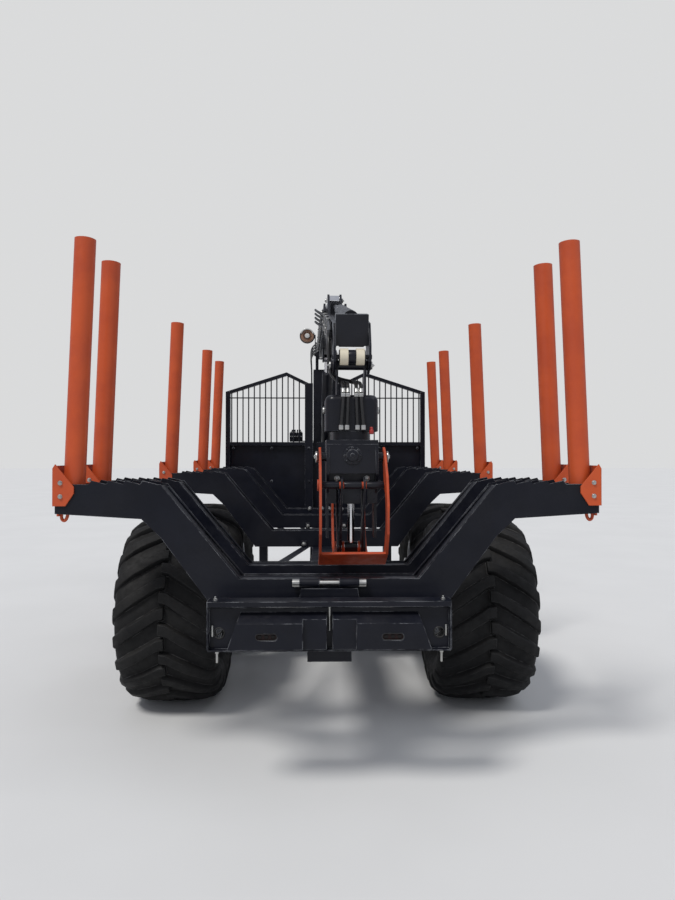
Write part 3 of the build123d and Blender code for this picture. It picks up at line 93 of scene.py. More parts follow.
class NodeDesk:
    """Places and joins the nodes of one shader tree."""

    def __init__(self, tree: bpy.types.NodeTree) -> None:
        """Keeps the tree."""
        self.tree = tree

    def add(self, kind: str, inputs: Optional[Dict[object, object]] = None,
            **settings: object) -> bpy.types.Node:
        """Adds a node.

        Args:
            kind: the node's type name.
            inputs: what goes into its inputs.
            settings: attributes to set on it.

        Returns:
            The new node.
        """
        node = self.tree.nodes.new(kind)
        for key, value in settings.items():
            setattr(node, key, value)
        self.feed(node, inputs or {})
        return node

    def feed(self, node: bpy.types.Node, inputs: Dict[object, object]) -> None:
        """Sets or links inputs of a node.

        Args:
            node: the node.
            inputs: by an input's name or number, its value or the socket that feeds it.
        """
        for key, value in inputs.items():
            if isinstance(value, Socket):
                self.tree.links.new(value, node.inputs[key])
            else:
                node.inputs[key].default_value = value

    def noise(self, scale: float, detail: float, rough: float = 0.55) -> Socket:
        """Adds a noise on object coordinates.

        Args:
            scale: its scale, in cells per metre.
            detail: octaves.
            rough: weight of the finer octaves.

        Returns:
            The noise's value.
        """
        place = self.add("ShaderNodeTexCoord").outputs["Object"]
        inputs = {"Scale": scale, "Detail": detail, "Roughness": rough, "Vector": place}
        return self.add("ShaderNodeTexNoise", inputs).outputs["Fac"]

    def spread(self, value: Socket, low: float, high: float, out_low: float = 0.0,
               out_high: float = 1.0) -> Socket:
        """Returns a value stretched smoothly from the range of low to high to that of the results."""
        inputs = {"Value": value, "From Min": low, "From Max": high, "To Min": out_low, "To Max": out_high}
        return self.add("ShaderNodeMapRange", inputs, interpolation_type="SMOOTHSTEP").outputs["Result"]

    def compute(self, operation: str, *terms: object) -> Socket:
        """Works through some terms, sockets or numbers, from the first to the last.

        Args:
            operation: the math nodes' operation.
            terms: what it takes, two or more.

        Returns:
            The result.
        """
        result = terms[0]
        for term in terms[1:]:
            result = self.add("ShaderNodeMath", {0: result, 1: term}, operation=operation).outputs[0]
        return result

    def blend(self, mask: Socket, first: object, second: object) -> Socket:
        """Mixes two colours.

        Args:
            mask: how much of the second.
            first: a colour or a socket.
            second: a colour or a socket.

        Returns:
            The mixed colour.
        """
        pair = [colour if isinstance(colour, Socket) else (*colour, 1.0) for colour in (first, second)]
        inputs = {"Factor": mask, 6: pair[0], 7: pair[1]}
        return self.add("ShaderNodeMix", inputs, data_type="RGBA").outputs[2]


class Effects:
    """Shared shader groups: rounded edges with wear and painted highlight, settled dust, and fine grain."""

    def __init__(self) -> None:
        """Builds every group once."""
        self.edge = self.make_edge()
        self.dust = self.make_dust()
        self.grain = self.make_grain()

    @staticmethod
    def start(name: str, inputs: Dict[str, float], outputs: Dict[str, str]) -> Tuple[
            bpy.types.NodeTree, NodeDesk, bpy.types.Node, bpy.types.Node]:
        """Starts a group with its sockets.

        Args:
            name: the group's name.
            inputs: each input's name and default.
            outputs: each output's name and socket type.

        Returns:
            The tree, a desk for it, and its input and output nodes.
        """
        tree = bpy.data.node_groups.new(name, "ShaderNodeTree")
        for title, value in inputs.items():
            socket = tree.interface.new_socket(title, in_out="INPUT", socket_type="NodeSocketFloat")
            socket.default_value = value
        for title, kind in outputs.items():
            tree.interface.new_socket(title, in_out="OUTPUT", socket_type=kind)
        desk = NodeDesk(tree)
        return tree, desk, desk.add("NodeGroupInput"), desk.add("NodeGroupOutput")

    def make_edge(self) -> bpy.types.NodeTree:
        """Rounded normals, and a mask of edges broken up by noise, painted as rubbed wear and, on the dark
        finishes, as a painted highlight along the edges.

        Returns:
            The group.
        """
        tree, desk, given, result = self.start("worn_and_highlit_edges", {"Radius": 0.004, "Amount": 0.5},
                                               {"Mask": "NodeSocketFloat", "Normal": "NodeSocketVector"})
        bevel = desk.add("ShaderNodeBevel", {"Radius": given.outputs["Radius"]}, samples=4).outputs["Normal"]
        flat = desk.add("ShaderNodeNewGeometry").outputs["Normal"]
        dot = desk.add("ShaderNodeVectorMath", {0: bevel, 1: flat}, operation="DOT_PRODUCT")
        turned = desk.spread(dot.outputs["Value"], 0.995, 0.90)
        patches = desk.spread(desk.noise(14.0, 6.0, 0.65), 0.42, 0.62)
        edge_wear_and_highlight = desk.compute("MULTIPLY", turned, patches, given.outputs["Amount"])
        desk.feed(result, {"Mask": edge_wear_and_highlight, "Normal": bevel})
        return tree

    def make_dust(self) -> bpy.types.NodeTree:
        """A mask of dust that lies on upward faces and thins out in patches.

        Returns:
            The group.
        """
        tree, desk, given, result = self.start("settled_dust", {"Amount": 0.5}, {"Mask": "NodeSocketFloat"})
        flat = desk.add("ShaderNodeNewGeometry").outputs["Normal"]
        split = desk.add("ShaderNodeSeparateXYZ", {0: flat})
        upward = desk.spread(split.outputs["Z"], -0.6, 1.0, 0.12, 1.0)
        patches = desk.spread(desk.noise(3.2, 8.0, 0.6), 0.30, 0.74)
        specks = desk.spread(desk.noise(90.0, 2.0, 0.5), 0.35, 0.75, 0.55, 1.0)
        lying = desk.compute("MULTIPLY", upward, patches, specks, given.outputs["Amount"])
        desk.feed(result, {"Mask": lying})
        return tree

    def make_grain(self) -> bpy.types.NodeTree:
        """A fine height with a slower wave under it, such as sprayed paint or cast metal has.

        Returns:
            The group.
        """
        tree, desk, given, result = self.start("fine_grain", {"Fine": 1.0, "Slow": 1.0},
                                               {"Height": "NodeSocketFloat"})
        fine = desk.compute("MULTIPLY", desk.noise(420.0, 3.0), given.outputs["Fine"])
        slow = desk.compute("MULTIPLY", desk.noise(16.0, 3.0), given.outputs["Slow"])
        desk.feed(result, {"Height": desk.compute("ADD", fine, slow)})
        return tree


@dataclass(frozen=True)
class Finish:
    """A surface: colour and drift, gloss, edges with wear and painted highlight, dust, grain, and its added
    pieces' slot.
    """

    title: str
    colour: Triple
    drift: Triple
    gloss_low: float
    gloss_high: float
    slot: Slot = Slot.BLACK
    metallic: float = 0.0
    coat: float = 0.0
    specular: float = 0.5
    wear_and_highlight_colour: Triple = (0.30, 0.30, 0.31)
    edge_wear_and_highlight: float = 0.4
    edge: float = 0.004
    dust_colour: Triple = (0.24, 0.22, 0.19)
    dust: float = 0.25
    fine: float = 0.3
    slow: float = 0.5
    bump: float = 0.08
    drift_scale: float = 5.0

    def build(self, effects: Effects) -> bpy.types.Material:
        """Makes the material.

        Args:
            effects: the shared groups.

        Returns:
            The new material.
        """
        material = bpy.data.materials.new(self.title)
        material.use_nodes = True
        desk = NodeDesk(material.node_tree)
        edge = desk.add("ShaderNodeGroup", {"Radius": self.edge, "Amount": self.edge_wear_and_highlight}, node_tree=effects.edge)
        dust = desk.add("ShaderNodeGroup", {"Amount": self.dust}, node_tree=effects.dust).outputs["Mask"]
        grain = desk.add("ShaderNodeGroup", {"Fine": self.fine, "Slow": self.slow}, node_tree=effects.grain)
        tone = desk.spread(desk.noise(self.drift_scale, 5.0, 0.6), 0.3, 0.7)
        painted = desk.blend(tone, self.colour, self.drift)
        # Edges take the edge colour: rubbed wear, and on the dark finishes a painted highlight along the
        # edges.
        rubbed_and_highlit = desk.blend(edge.outputs["Mask"], painted, self.wear_and_highlight_colour)
        gloss = desk.spread(desk.noise(22.0, 6.0, 0.65), 0.3, 0.7, self.gloss_low, self.gloss_high)
        dull = desk.compute("MULTIPLY", dust, DUST_DULLING)
        bump = desk.add("ShaderNodeBump", {
            "Strength": self.bump, "Distance": BUMP_DEPTH, "Height": grain.outputs["Height"],
            "Normal": edge.outputs["Normal"]})
        desk.feed(material.node_tree.nodes["Principled BSDF"], {
            "Base Color": desk.blend(dust, rubbed_and_highlit, self.dust_colour), "Metallic": self.metallic,
            "Roughness": desk.compute("ADD", gloss, dull), "Specular IOR Level": self.specular,
            "Coat Weight": self.coat, "Coat Roughness": COAT_ROUGHNESS, "Normal": bump.outputs["Normal"]})
        return material


# The light grey edge colour of the black paints is wear and also a painted highlight along the edges.
BLACK = Finish("chassis_black", (0.0028, 0.0036, 0.0080), (0.0055, 0.0066, 0.0125), 0.30, 0.48, coat=0.05,
               specular=0.20, wear_and_highlight_colour=(0.26, 0.27, 0.29), edge_wear_and_highlight=0.9, dust=0.06, edge=0.005)
CRANE_BLACK = Finish("crane_black", (0.0036, 0.0043, 0.0085), (0.0068, 0.0077, 0.0135), 0.26, 0.44, coat=0.10,
                     specular=0.26, wear_and_highlight_colour=(0.17, 0.175, 0.19), edge_wear_and_highlight=0.8, dust=0.06)
ORANGE = Finish("stake_orange", (0.53, 0.080, 0.018), (0.44, 0.062, 0.018), 0.36, 0.54, Slot.ORANGE,
                coat=0.06, specular=0.35, wear_and_highlight_colour=(0.30, 0.10, 0.06), edge_wear_and_highlight=0.4, dust=0.09,
                dust_colour=(0.45, 0.16, 0.09))
GRAPPLE_ORANGE = Finish("grapple_orange", (0.46, 0.062, 0.016), (0.30, 0.038, 0.012), 0.38, 0.60, Slot.ORANGE,
                        coat=0.05, specular=0.35, wear_and_highlight_colour=(0.13, 0.08, 0.06), edge_wear_and_highlight=0.9, dust=0.14,
                        dust_colour=(0.24, 0.10, 0.06), drift_scale=9.0)
RUBBER = Finish("tyre_black", (0.0050, 0.0052, 0.0060), (0.0095, 0.0096, 0.0100), 0.55, 0.78, Slot.TYRE,
                specular=0.22, edge_wear_and_highlight=0.5, wear_and_highlight_colour=(0.10, 0.10, 0.10), dust=0.16,
                dust_colour=(0.10, 0.092, 0.082), fine=0.8, slow=0.8, bump=0.25, edge=0.006)
RIM_SILVER = Finish("rim_silver", (0.50, 0.51, 0.53), (0.42, 0.43, 0.45), 0.32, 0.48, metallic=0.35, edge_wear_and_highlight=0.2,
                    dust=0.25, dust_colour=(0.32, 0.29, 0.25))
CHROME = Finish("polished_rod", (0.80, 0.80, 0.82), (0.74, 0.74, 0.77), 0.06, 0.16, metallic=1.0, edge_wear_and_highlight=0.0,
                dust=0.08, fine=0.05, slow=0.05, bump=0.02, edge=0.002)
ZINC = Finish("zinc_plate", (0.50, 0.50, 0.49), (0.40, 0.40, 0.38), 0.28, 0.46, Slot.STEEL, metallic=1.0,
              edge_wear_and_highlight=0.0, dust=0.12, edge=0.001, fine=0.4)
STEEL = Finish("bare_steel", (0.45, 0.44, 0.43), (0.36, 0.35, 0.34), 0.34, 0.52, metallic=1.0, edge_wear_and_highlight=0.0,
               dust=0.15, edge=0.002, fine=0.4)
NYLON = Finish("cream_nylon", (0.72, 0.66, 0.52), (0.62, 0.56, 0.43), 0.45, 0.60, edge_wear_and_highlight=0.0, dust=0.20,
               edge=0.003)
HOSE = Finish("hose_rubber", (0.008, 0.008, 0.009), (0.015, 0.015, 0.016), 0.30, 0.48, edge_wear_and_highlight=0.0, dust=0.05,
              fine=0.9, bump=0.15, edge=0.001)
SEAL = Finish("seal_black", (0.007, 0.007, 0.008), (0.012, 0.012, 0.013), 0.5, 0.7, edge_wear_and_highlight=0.0, dust=0.05,
              edge=0.002)
LAMP_RED = Finish("lamp_lens", (0.014, 0.003, 0.003), (0.008, 0.002, 0.002), 0.12, 0.22, specular=0.2,
                  edge_wear_and_highlight=0.0, dust=0.03, fine=0.05, bump=0.02, edge=0.002)
RED_CAP = Finish("red_cap", (0.32, 0.02, 0.016), (0.24, 0.014, 0.012), 0.30, 0.45, Slot.ORANGE, edge_wear_and_highlight=0.0,
                 dust=0.1, edge=0.002)
LAMP_AMBER = Finish("warm_lens", (0.30, 0.16, 0.09), (0.24, 0.12, 0.07), 0.10, 0.18, Slot.LAMP, coat=0.6,
                    edge_wear_and_highlight=0.0, dust=0.15, fine=0.05, bump=0.02, edge=0.002)
SMOKED_LENS = Finish("smoked_lens", (0.007, 0.005, 0.005), (0.004, 0.003, 0.003), 0.10, 0.20, Slot.LAMP,
                     specular=0.2, edge_wear_and_highlight=0.0, dust=0.03, fine=0.05, bump=0.02, edge=0.002)
PALE_LENS = Finish("pale_lens", (0.62, 0.62, 0.60), (0.52, 0.52, 0.50), 0.05, 0.12, Slot.LAMP, coat=0.9,
                   edge_wear_and_highlight=0.0, dust=0.1, fine=0.05, bump=0.02, edge=0.002)


class Palette:
    """Builds each finish once and lays it on objects."""

    def __init__(self) -> None:
        """Starts with no materials made."""
        self.effects = Effects()
        self.made: Dict[str, bpy.types.Material] = {}

    def paint(self, piece: Piece, finish: Finish) -> None:
        """Lays one finish over a whole object.

        Args:
            piece: the object.
            finish: what it gets.
        """
        if finish.title not in self.made:
            self.made[finish.title] = finish.build(self.effects)
        piece.data.materials.clear()
        piece.data.materials.append(self.made[finish.title])


NODE_FINISHES: Dict[str, Finish] = {
    "tyre_": RUBBER, "rim_": RIM_SILVER, "stakes_": ORANGE, "stake_brackets_": ORANGE,
    "claw_link_": CRANE_BLACK, "claw_": GRAPPLE_ORANGE, "lift_rod": CHROME, "jib_rod": CHROME,
    "steer_rod": CHROME, "crosshead": CHROME, "latch_pin": ZINC, "hose_rollers": NYLON,
    "rear_lamps": LAMP_RED, "steer_pin": STEEL, "column": CRANE_BLACK, "boom": CRANE_BLACK,
    "jib": CRANE_BLACK, "tip_link": CRANE_BLACK, "grapple_frame": CRANE_BLACK, "crane_base": CRANE_BLACK,
    "lift_cylinder": CRANE_BLACK, "extension_cylinder": CRANE_BLACK,
}


def finish_of(node: str) -> Finish:
    """Returns the first finish whose key starts a CAD node's name, or the chassis black."""
    return next((finish for key, finish in NODE_FINISHES.items() if node.startswith(key)), BLACK)


@dataclass
class Studio:
    """A pale floor, a soft world and lamps, and the camera behind the trailer."""

    floor_size: float = 160.0
    floor_colour: Triple = (0.66, 0.66, 0.655)
    floor_mottle: float = 0.97
    sky: Numbers = (0.86, 0.90, 1.0, 1.0)
    sky_strength: float = 0.50
    backdrop: Numbers = (0.74, 0.745, 0.75, 1.0)
    backdrop_strength: float = 0.95
    suns: Tuple[Tuple[str, Triple, float, float, Triple], ...] = (
        ("key_sun", (-4.0, -5.0, 9.0), 2.1, 14.0, (1.0, 0.98, 0.95)),
        ("fill_sun", (7.0, -3.0, 8.0), 0.45, 40.0, (0.92, 0.96, 1.0)))
    camera_place: Triple = (-0.03, -6.7025, 1.59)
    camera_pitch: float = 0.5
    camera_turn: float = -1.23
    lens: float = 27.04

    def build(self) -> None:
        """Makes the whole studio."""
        self.make_floor()
        self.make_world()
        self.make_lamps()
        self.make_camera()

    def make_floor(self) -> None:
        """Adds the floor with a faint mottle."""
        bpy.ops.mesh.primitive_plane_add(size=self.floor_size, location=(0, 0, 0))
        floor = bpy.context.object
        floor.name = "studio_floor"
        bpy.ops.object.transform_apply(location=True, rotation=True, scale=True)
        material = bpy.data.materials.new("studio_floor")
        material.use_nodes = True
        desk = NodeDesk(material.node_tree)
        shade = desk.spread(desk.noise(0.8, 3.0), 0.3, 0.7)
        darker = tuple(self.floor_mottle * part for part in self.floor_colour)
        desk.feed(material.node_tree.nodes["Principled BSDF"], {
            "Base Color": desk.blend(shade, self.floor_colour, darker), "Roughness": 0.85,
            "Specular IOR Level": 0.1})
        floor.data.materials.append(material)

    def make_world(self) -> None:
        """A grey dome that gives the light, and a pale one that only the camera and glass see."""
        world = bpy.data.worlds.new("studio_world")
        bpy.context.scene.world = world
        world.use_nodes = True
        world.node_tree.nodes.clear()
        desk = NodeDesk(world.node_tree)
        light = desk.add("ShaderNodeBackground", {"Color": self.sky, "Strength": self.sky_strength})
        seen = desk.add("ShaderNodeBackground", {"Color": self.backdrop, "Strength": self.backdrop_strength})
        path = desk.add("ShaderNodeLightPath").outputs
        both = desk.compute("MAXIMUM", path["Is Camera Ray"], path["Is Transmission Ray"])
        mix = desk.add("ShaderNodeMixShader", {0: both, 1: light.outputs[0], 2: seen.outputs[0]})
        desk.add("ShaderNodeOutputWorld", {"Surface": mix.outputs[0]})

    def make_lamps(self) -> None:
        """Two wide suns that light the floor evenly: the key high on the left, a weak one on the right."""
        for name, place, strength, spread, colour in self.suns:
            data = bpy.data.lights.new(name, "SUN")
            data.energy = strength
            data.angle = math.radians(spread)
            data.color = colour
            lamp = bpy.data.objects.new(name, data)
            bpy.context.scene.collection.objects.link(lamp)
            lamp.location = place
            lamp.rotation_euler = (-Vector(place)).to_track_quat("-Z", "Y").to_euler()

    def make_camera(self) -> None:
        """Adds the camera at the photograph's place."""
        data = bpy.data.cameras.new("rear_camera")
        data.lens = self.lens
        data.sensor_width = 36.0
        data.clip_start = 0.05
        data.clip_end = 500.0
        camera = bpy.data.objects.new("rear_camera", data)
        bpy.context.scene.collection.objects.link(camera)
        camera.location = self.camera_place
        camera.rotation_euler = (math.radians(90.0 + self.camera_pitch), 0.0, math.radians(self.camera_turn))
        bpy.context.scene.camera = camera


class Bench:
    """Modelling steps with Blender's operators; every finished piece has its place in its mesh."""

    def __init__(self, palette: Palette) -> None:
        """Keeps the palette that finishes come from."""
        self.palette = palette

    @staticmethod
    def clear() -> None:
        """Leaves edit mode and deselects everything."""
        if bpy.context.object and bpy.context.object.mode != "OBJECT":
            bpy.ops.object.mode_set(mode="OBJECT")
        bpy.ops.object.select_all(action="DESELECT")

    def choose(self, piece: Piece) -> None:
        """Makes one object active and the only one selected.

        Args:
            piece: the object.
        """
        self.clear()
        piece.select_set(True)
        bpy.context.view_layer.objects.active = piece

    def settle(self, piece: Piece, width: float = 0.0) -> Piece:
        """Moves an object's place into its mesh, then bevels its sharp edges.

        Args:
            piece: the object.
            width: bevel width, or 0 for none.

        Returns:
            The same object.
        """
        self.choose(piece)
        bpy.ops.object.transform_apply(location=True, rotation=True, scale=True)
        if width:
            self.round_edges(piece, width)
        return piece

    def round_edges(self, piece: Piece, width: float) -> None:
        """Bevels the sharp edges and smooths the shading.

        Args:
            piece: the object.
            width: bevel width.
        """
        self.choose(piece)
        bevel = piece.modifiers.new("round", "BEVEL")
        bevel.width = width
        bevel.segments = 2
        bevel.limit_method = "ANGLE"
        bevel.angle_limit = ROUND_ANGLE
        bpy.ops.object.modifier_apply(modifier=bevel.name)
        bpy.ops.object.shade_smooth_by_angle(angle=ROUND_ANGLE)

    def face_out(self, piece: Piece) -> None:
        """Turns every face of an object outward.

        Args:
            piece: the object.
        """
        self.choose(piece)
        bpy.ops.object.mode_set(mode="EDIT")
        bpy.ops.mesh.select_all(action="SELECT")
        bpy.ops.mesh.normals_make_consistent(inside=False)
        bpy.ops.object.mode_set(mode="OBJECT")

    def block(self, low: Sequence[float], high: Sequence[float], width: float = 0.003) -> Piece:
        """A bevelled block between two corners.

        Args:
            low: one corner.
            high: the corner across from it.
            width: bevel width.

        Returns:
            The piece.
        """
        self.clear()
        bpy.ops.mesh.primitive_cube_add(size=1.0, location=[(a + b) / 2 for a, b in zip(low, high)])
        piece = bpy.context.object
        piece.scale = [abs(b - a) for a, b in zip(low, high)]
        return self.settle(piece, width)

    def disc(self, start: Sequence[float], end: Sequence[float], radius: float, sides: int = 32,
             width: float = 0.002) -> Piece:
        """A bevelled round or hexagonal bar between two points.

        Args:
            start: centre of its first face.
            end: centre of its last face.
            radius: its radius.
            sides: how many sides it has.
            width: bevel width.

        Returns:
            The piece.
        """
        self.clear()
        axis = Vector(end) - Vector(start)
        bpy.ops.mesh.primitive_cylinder_add(vertices=sides, radius=radius, depth=axis.length,
                                            location=(Vector(start) + Vector(end)) / 2,
                                            rotation=axis.to_track_quat("Z", "Y").to_euler())
        return self.settle(bpy.context.object, width)

    def turned(self, base: Sequence[float], axis: Sequence[float], *rows: Numbers) -> List[Piece]:
        """Returns discs on one axis; a row has two distances, radius, and as in disc, sides and width."""
        start, run = Vector(base), Vector(axis)
        return [self.disc(start + run * first, start + run * last, *rest) for first, last, *rest in rows]

    def torus(self, radius: float, thickness: float, around: int, across: int) -> Piece:
        """A smooth ring about +Z at the origin.

        Args:
            radius: of the ring's middle line.
            thickness: radius of its section.
            around: segments round the ring.
            across: segments round its section.

        Returns:
            The ring.
        """
        self.clear()
        bpy.ops.mesh.primitive_torus_add(major_radius=radius, minor_radius=thickness, major_segments=around,
                                         minor_segments=across)
        bpy.ops.object.shade_smooth()
        return bpy.context.object

    def join(self, name: str, pieces: Sequence[Piece]) -> Piece:
        """Joins several objects into one.

        Args:
            name: the joined piece's name.
            pieces: what is joined.

        Returns:
            The joined piece.
        """
        self.clear()
        for piece in pieces:
            piece.select_set(True)
        bpy.context.view_layer.objects.active = pieces[0]
        if len(pieces) > 1:
            bpy.ops.object.join()
        pieces[0].name = name
        return pieces[0]

    @staticmethod
    def twin(model: Piece, place: Matrix) -> Piece:
        """A copy with a mesh of its own, moved within it.

        Args:
            model: what is copied, made at the origin.
            place: where the copy goes.

        Returns:
            The copy.
        """
        twin = model.copy()
        twin.data = model.data.copy()
        twin.data.transform(place)
        if place.to_3x3().determinant() < 0:
            twin.data.flip_normals()
        bpy.context.scene.collection.objects.link(twin)
        return twin

    def copies(self, name: str, model: Piece, places: Iterable[Matrix]) -> Piece:
        """Copies a model to several places and joins the copies; the model itself is removed.

        Args:
            name: the joined piece's name.
            model: what is copied, made at the origin.
            places: where the copies go.

        Returns:
            The joined piece.
        """
        made = [self.twin(model, place) for place in places]
        bpy.data.objects.remove(model)
        return self.join(name, made)

    def hand_over(self, piece: Piece, body: str, finish: Optional[Finish]) -> None:
        """Gives a finished piece its body and finish, and reports it.

        Args:
            piece: the piece.
            body: the CAD body that carries it.
            finish: its finish, or None if it is already painted.
        """
        if finish is not None:
            self.palette.paint(piece, finish)
        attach(piece, body)
        LOG.info("%s rides on %s with %d faces", piece.name, body, len(piece.data.polygons))

    def give(self, name: str, body: str, finish: Optional[Finish], pieces: Sequence[Piece]) -> None:
        """Joins pieces under a name and hands them over."""
        self.hand_over(self.join(name, pieces), body, finish)

    def repeat(self, name: str, body: str, finish: Finish, model: Sequence[Piece],
               places: Iterable[Matrix]) -> None:
        """Joins a model's parts, copies it to several places as one piece and hands that over."""
        self.hand_over(self.copies(name, self.join("model", model), places), body, finish)


def smooth_line(points: Sequence[Tuple[float, float]], count: int) -> List[Tuple[float, float]]:
    """Rounds an open outline with a Catmull-Rom curve, evenly spaced along its length.

    Args:
        points: the outline's corners.
        count: how many points to return.

    Returns:
        The rounded outline.
    """
    ends = [points[0]] + list(points) + [points[-1]]
    dense = []
    for index in range(1, len(ends) - 2):
        p0, p1, p2, p3 = (Vector(ends[index + k]) for k in (-1, 0, 1, 2))
        for step in range(24):
            t = step / 24
            dense.append(0.5 * (2 * p1 + (p2 - p0) * t + (2 * p0 - 5 * p1 + 4 * p2 - p3) * t * t
                                + (3 * p1 - p0 - 3 * p2 + p3) * t ** 3))
    dense.append(Vector(points[-1]))
    runs = [0.0]
    for first, second in zip(dense, dense[1:]):
        runs.append(runs[-1] + (second - first).length)
    result, at = [], 0
    for index in range(count):
        goal = runs[-1] * index / (count - 1)
        while at < len(runs) - 2 and runs[at + 1] < goal:
            at += 1
        part = (goal - runs[at]) / max(runs[at + 1] - runs[at], 1e-9)
        result.append(tuple(dense[at].lerp(dense[at + 1], min(part, 1.0))))
    return result


def ring(count: int, radius: float, start: float = 0.5) -> List[Tuple[float, float]]:
    """Returns cosine and sine parts of places evenly spaced on a circle; start is the first, in steps."""
    turns = [2 * math.pi * (step + start) / count for step in range(count)]
    return [(radius * math.cos(turn), radius * math.sin(turn)) for turn in turns]


def facing(place: Sequence[float], direction: Sequence[float]) -> Matrix:
    """Returns the transform that turns +Z to a direction and moves the origin to a place."""
    return Matrix.Translation(place) @ Vector(direction).to_track_quat("Z", "Y").to_matrix().to_4x4()


def station(distance: float) -> float:
    """Returns Y of a station measured forward from the lamp boxes' rear face."""
    return REAR_FACE_Y + distance


def middle_of(node: str) -> Vector:
    """Returns the middle of a CAD node's box."""
    low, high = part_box(node)
    return (Vector(low) + Vector(high)) / 2


@dataclass
class WheelSet:
    """Four wide tyres with staggered chevron lugs, and the nuts, caps and valves of their rims."""

    bench: Bench
    names: Tuple[str, ...] = ("rear_left", "rear_right", "front_left", "front_right")
    half_outline: Pairs = (
        (0.0, 0.5565), (0.12, 0.5545), (0.225, 0.546), (0.268, 0.530), (0.290, 0.495), (0.2985, 0.44),
        (0.296, 0.405), (0.270, 0.345), (0.2345, 0.312), (0.2345, 0.289), (0.12, 0.289), (0.0, 0.289))
    core_radius: float = 0.43
    lugs: int = 20
    lug_cuts: int = 9
    lug_height: float = 0.034
    lug_top: float = 0.058
    lug_base: float = 0.086
    lug_sink: float = 0.010
    lug_start: float = -0.016
    lug_stop: float = 0.372
    lug_bevel: float = 0.006
    tread_radius: float = 0.56
    sweep: float = 1.10
    shoulder_sweep: float = 0.35
    rib_radii: Numbers = (0.335, 0.352, 0.470)
    rib_height: float = 0.0022
    rib_width: float = 0.004
    nut_circle: float = 0.112
    nuts: int = 8
    nut_rows: Tuple[Numbers, ...] = (
        (0.0, 0.020, 0.019, 6, 0.002), (0.0, 0.005, 0.025, 20, 0.001), (0.018, 0.030, 0.010, 12, 0.001))
    cap_rows: Tuple[Numbers, ...] = ((0.0, 0.034, 0.062, 40, 0.010), (0.034, 0.042, 0.016, 6))
    disc_face: float = -0.076
    hub_face: float = -0.020
    valve_height: float = 0.222

    def __post_init__(self) -> None:
        """Rounds the outline once."""
        self.line = smooth_line(self.half_outline, 241)
        self.length = sum((Vector(b) - Vector(a)).length for a, b in zip(self.line, self.line[1:]))

    def build(self) -> None:
        """Makes every wheel's pieces."""
        tyre = self.make_tyre()
        for name in self.names:
            centre = middle_of("tyre_" + name)
            twin = self.bench.twin(tyre, Matrix.Translation(centre))
            twin.name = "lugged_tyre_" + name
            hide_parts("tyre_" + name)
            self.bench.hand_over(twin, "wheel_" + name, RUBBER)
            self.make_fittings(name, centre, Hand.LEFT if centre.x < 0 else Hand.RIGHT)
        bpy.data.objects.remove(tyre)

    def along(self, run: float) -> Tuple[float, float, float, float]:
        """A place on the outline.

        Args:
            run: distance from the crown's middle; negative lies on the other half.

        Returns:
            Its x and radius, and the outward normal's x and radius parts.
        """
        side = -1.0 if run < 0 else 1.0
        place = min(abs(run) / self.length, 1.0) * (len(self.line) - 1)
        index = min(int(place), len(self.line) - 2)
        first, second = Vector(self.line[index]), Vector(self.line[index + 1])
        point = first.lerp(second, place - index)
        tangent = (second - first).normalized()
        return side * point.x, point.y, side * -tangent.y, tangent.x

    def make_tyre(self) -> Piece:
        """Makes one tyre about the X axis at the origin.

        Returns:
            The joined tyre.
        """
        carcass = self.make_carcass()
        lug = self.make_lug()
        step = 2 * math.pi / self.lugs
        places = []
        for index in range(self.lugs):
            places.append(Matrix.Rotation(-index * step, 4, "X"))
            places.append(Matrix.Rotation(-(index + 0.5) * step, 4, "X") @ MIRROR_X)
        return self.bench.join("tyre_model", [carcass, self.bench.copies("lug_ring", lug, places)])

    def make_carcass(self) -> Piece:
        """Shapes a torus into the carcass, with fine ribs on its walls.

        Returns:
            The carcass.
        """
        carcass = self.bench.torus(self.core_radius, 0.1, 96, 72)
        for vertex in carcass.data.vertices:
            x, y, z = vertex.co
            turn = math.atan2(y, x)
            around = math.atan2(z, math.hypot(x, y) - self.core_radius)
            px, radius, nx, nr = self.along(around / math.pi * self.length)
            ribs = [math.exp(-((radius - middle) / self.rib_width) ** 2) for middle in self.rib_radii]
            rise = self.rib_height * sum(ribs) if abs(px) > 0.2 else 0.0
            radius += nr * rise
            vertex.co = (px + nx * rise, radius * math.cos(turn), radius * math.sin(turn))
        self.bench.face_out(carcass)
        bpy.ops.object.shade_smooth()
        return carcass

    def make_lug(self) -> Piece:
        """Cuts a bar along its length, wraps it over crown and shoulder, and rounds it.

        Returns:
            One right-hand lug.
        """
        self.bench.clear()
        bpy.ops.mesh.primitive_cube_add(size=1.0)
        lug = bpy.context.object
        bpy.ops.object.mode_set(mode="EDIT")
        for cut in range(1, self.lug_cuts):
            bpy.ops.mesh.select_all(action="SELECT")
            bpy.ops.mesh.bisect(plane_co=(cut / self.lug_cuts - 0.5, 0, 0), plane_no=(1, 0, 0))
        bpy.ops.object.mode_set(mode="OBJECT")
        for vertex in lug.data.vertices:
            along, across, up = vertex.co.x + 0.5, vertex.co.y, vertex.co.z + 0.5
            run = self.lug_start + along * (self.lug_stop - self.lug_start)
            px, radius, nx, nr = self.along(run)
            fade = min(1.0, max(0.0, (self.lug_stop - run) / 0.20))
            rise = -self.lug_sink + up * (self.lug_sink + self.lug_height * (0.15 + 0.85 * fade))
            width = (self.lug_base + up * (self.lug_top - self.lug_base)) * (1.0 + 0.25 * along)
            radius += nr * rise
            turn = self.sweep * abs(run) + self.shoulder_sweep * max(0.0, run - 0.2)
            turn += across * width / self.tread_radius
            vertex.co = (px + nx * rise, -radius * math.cos(turn), -radius * math.sin(turn))
        self.bench.face_out(lug)
        self.bench.round_edges(lug, self.lug_bevel)
        return lug

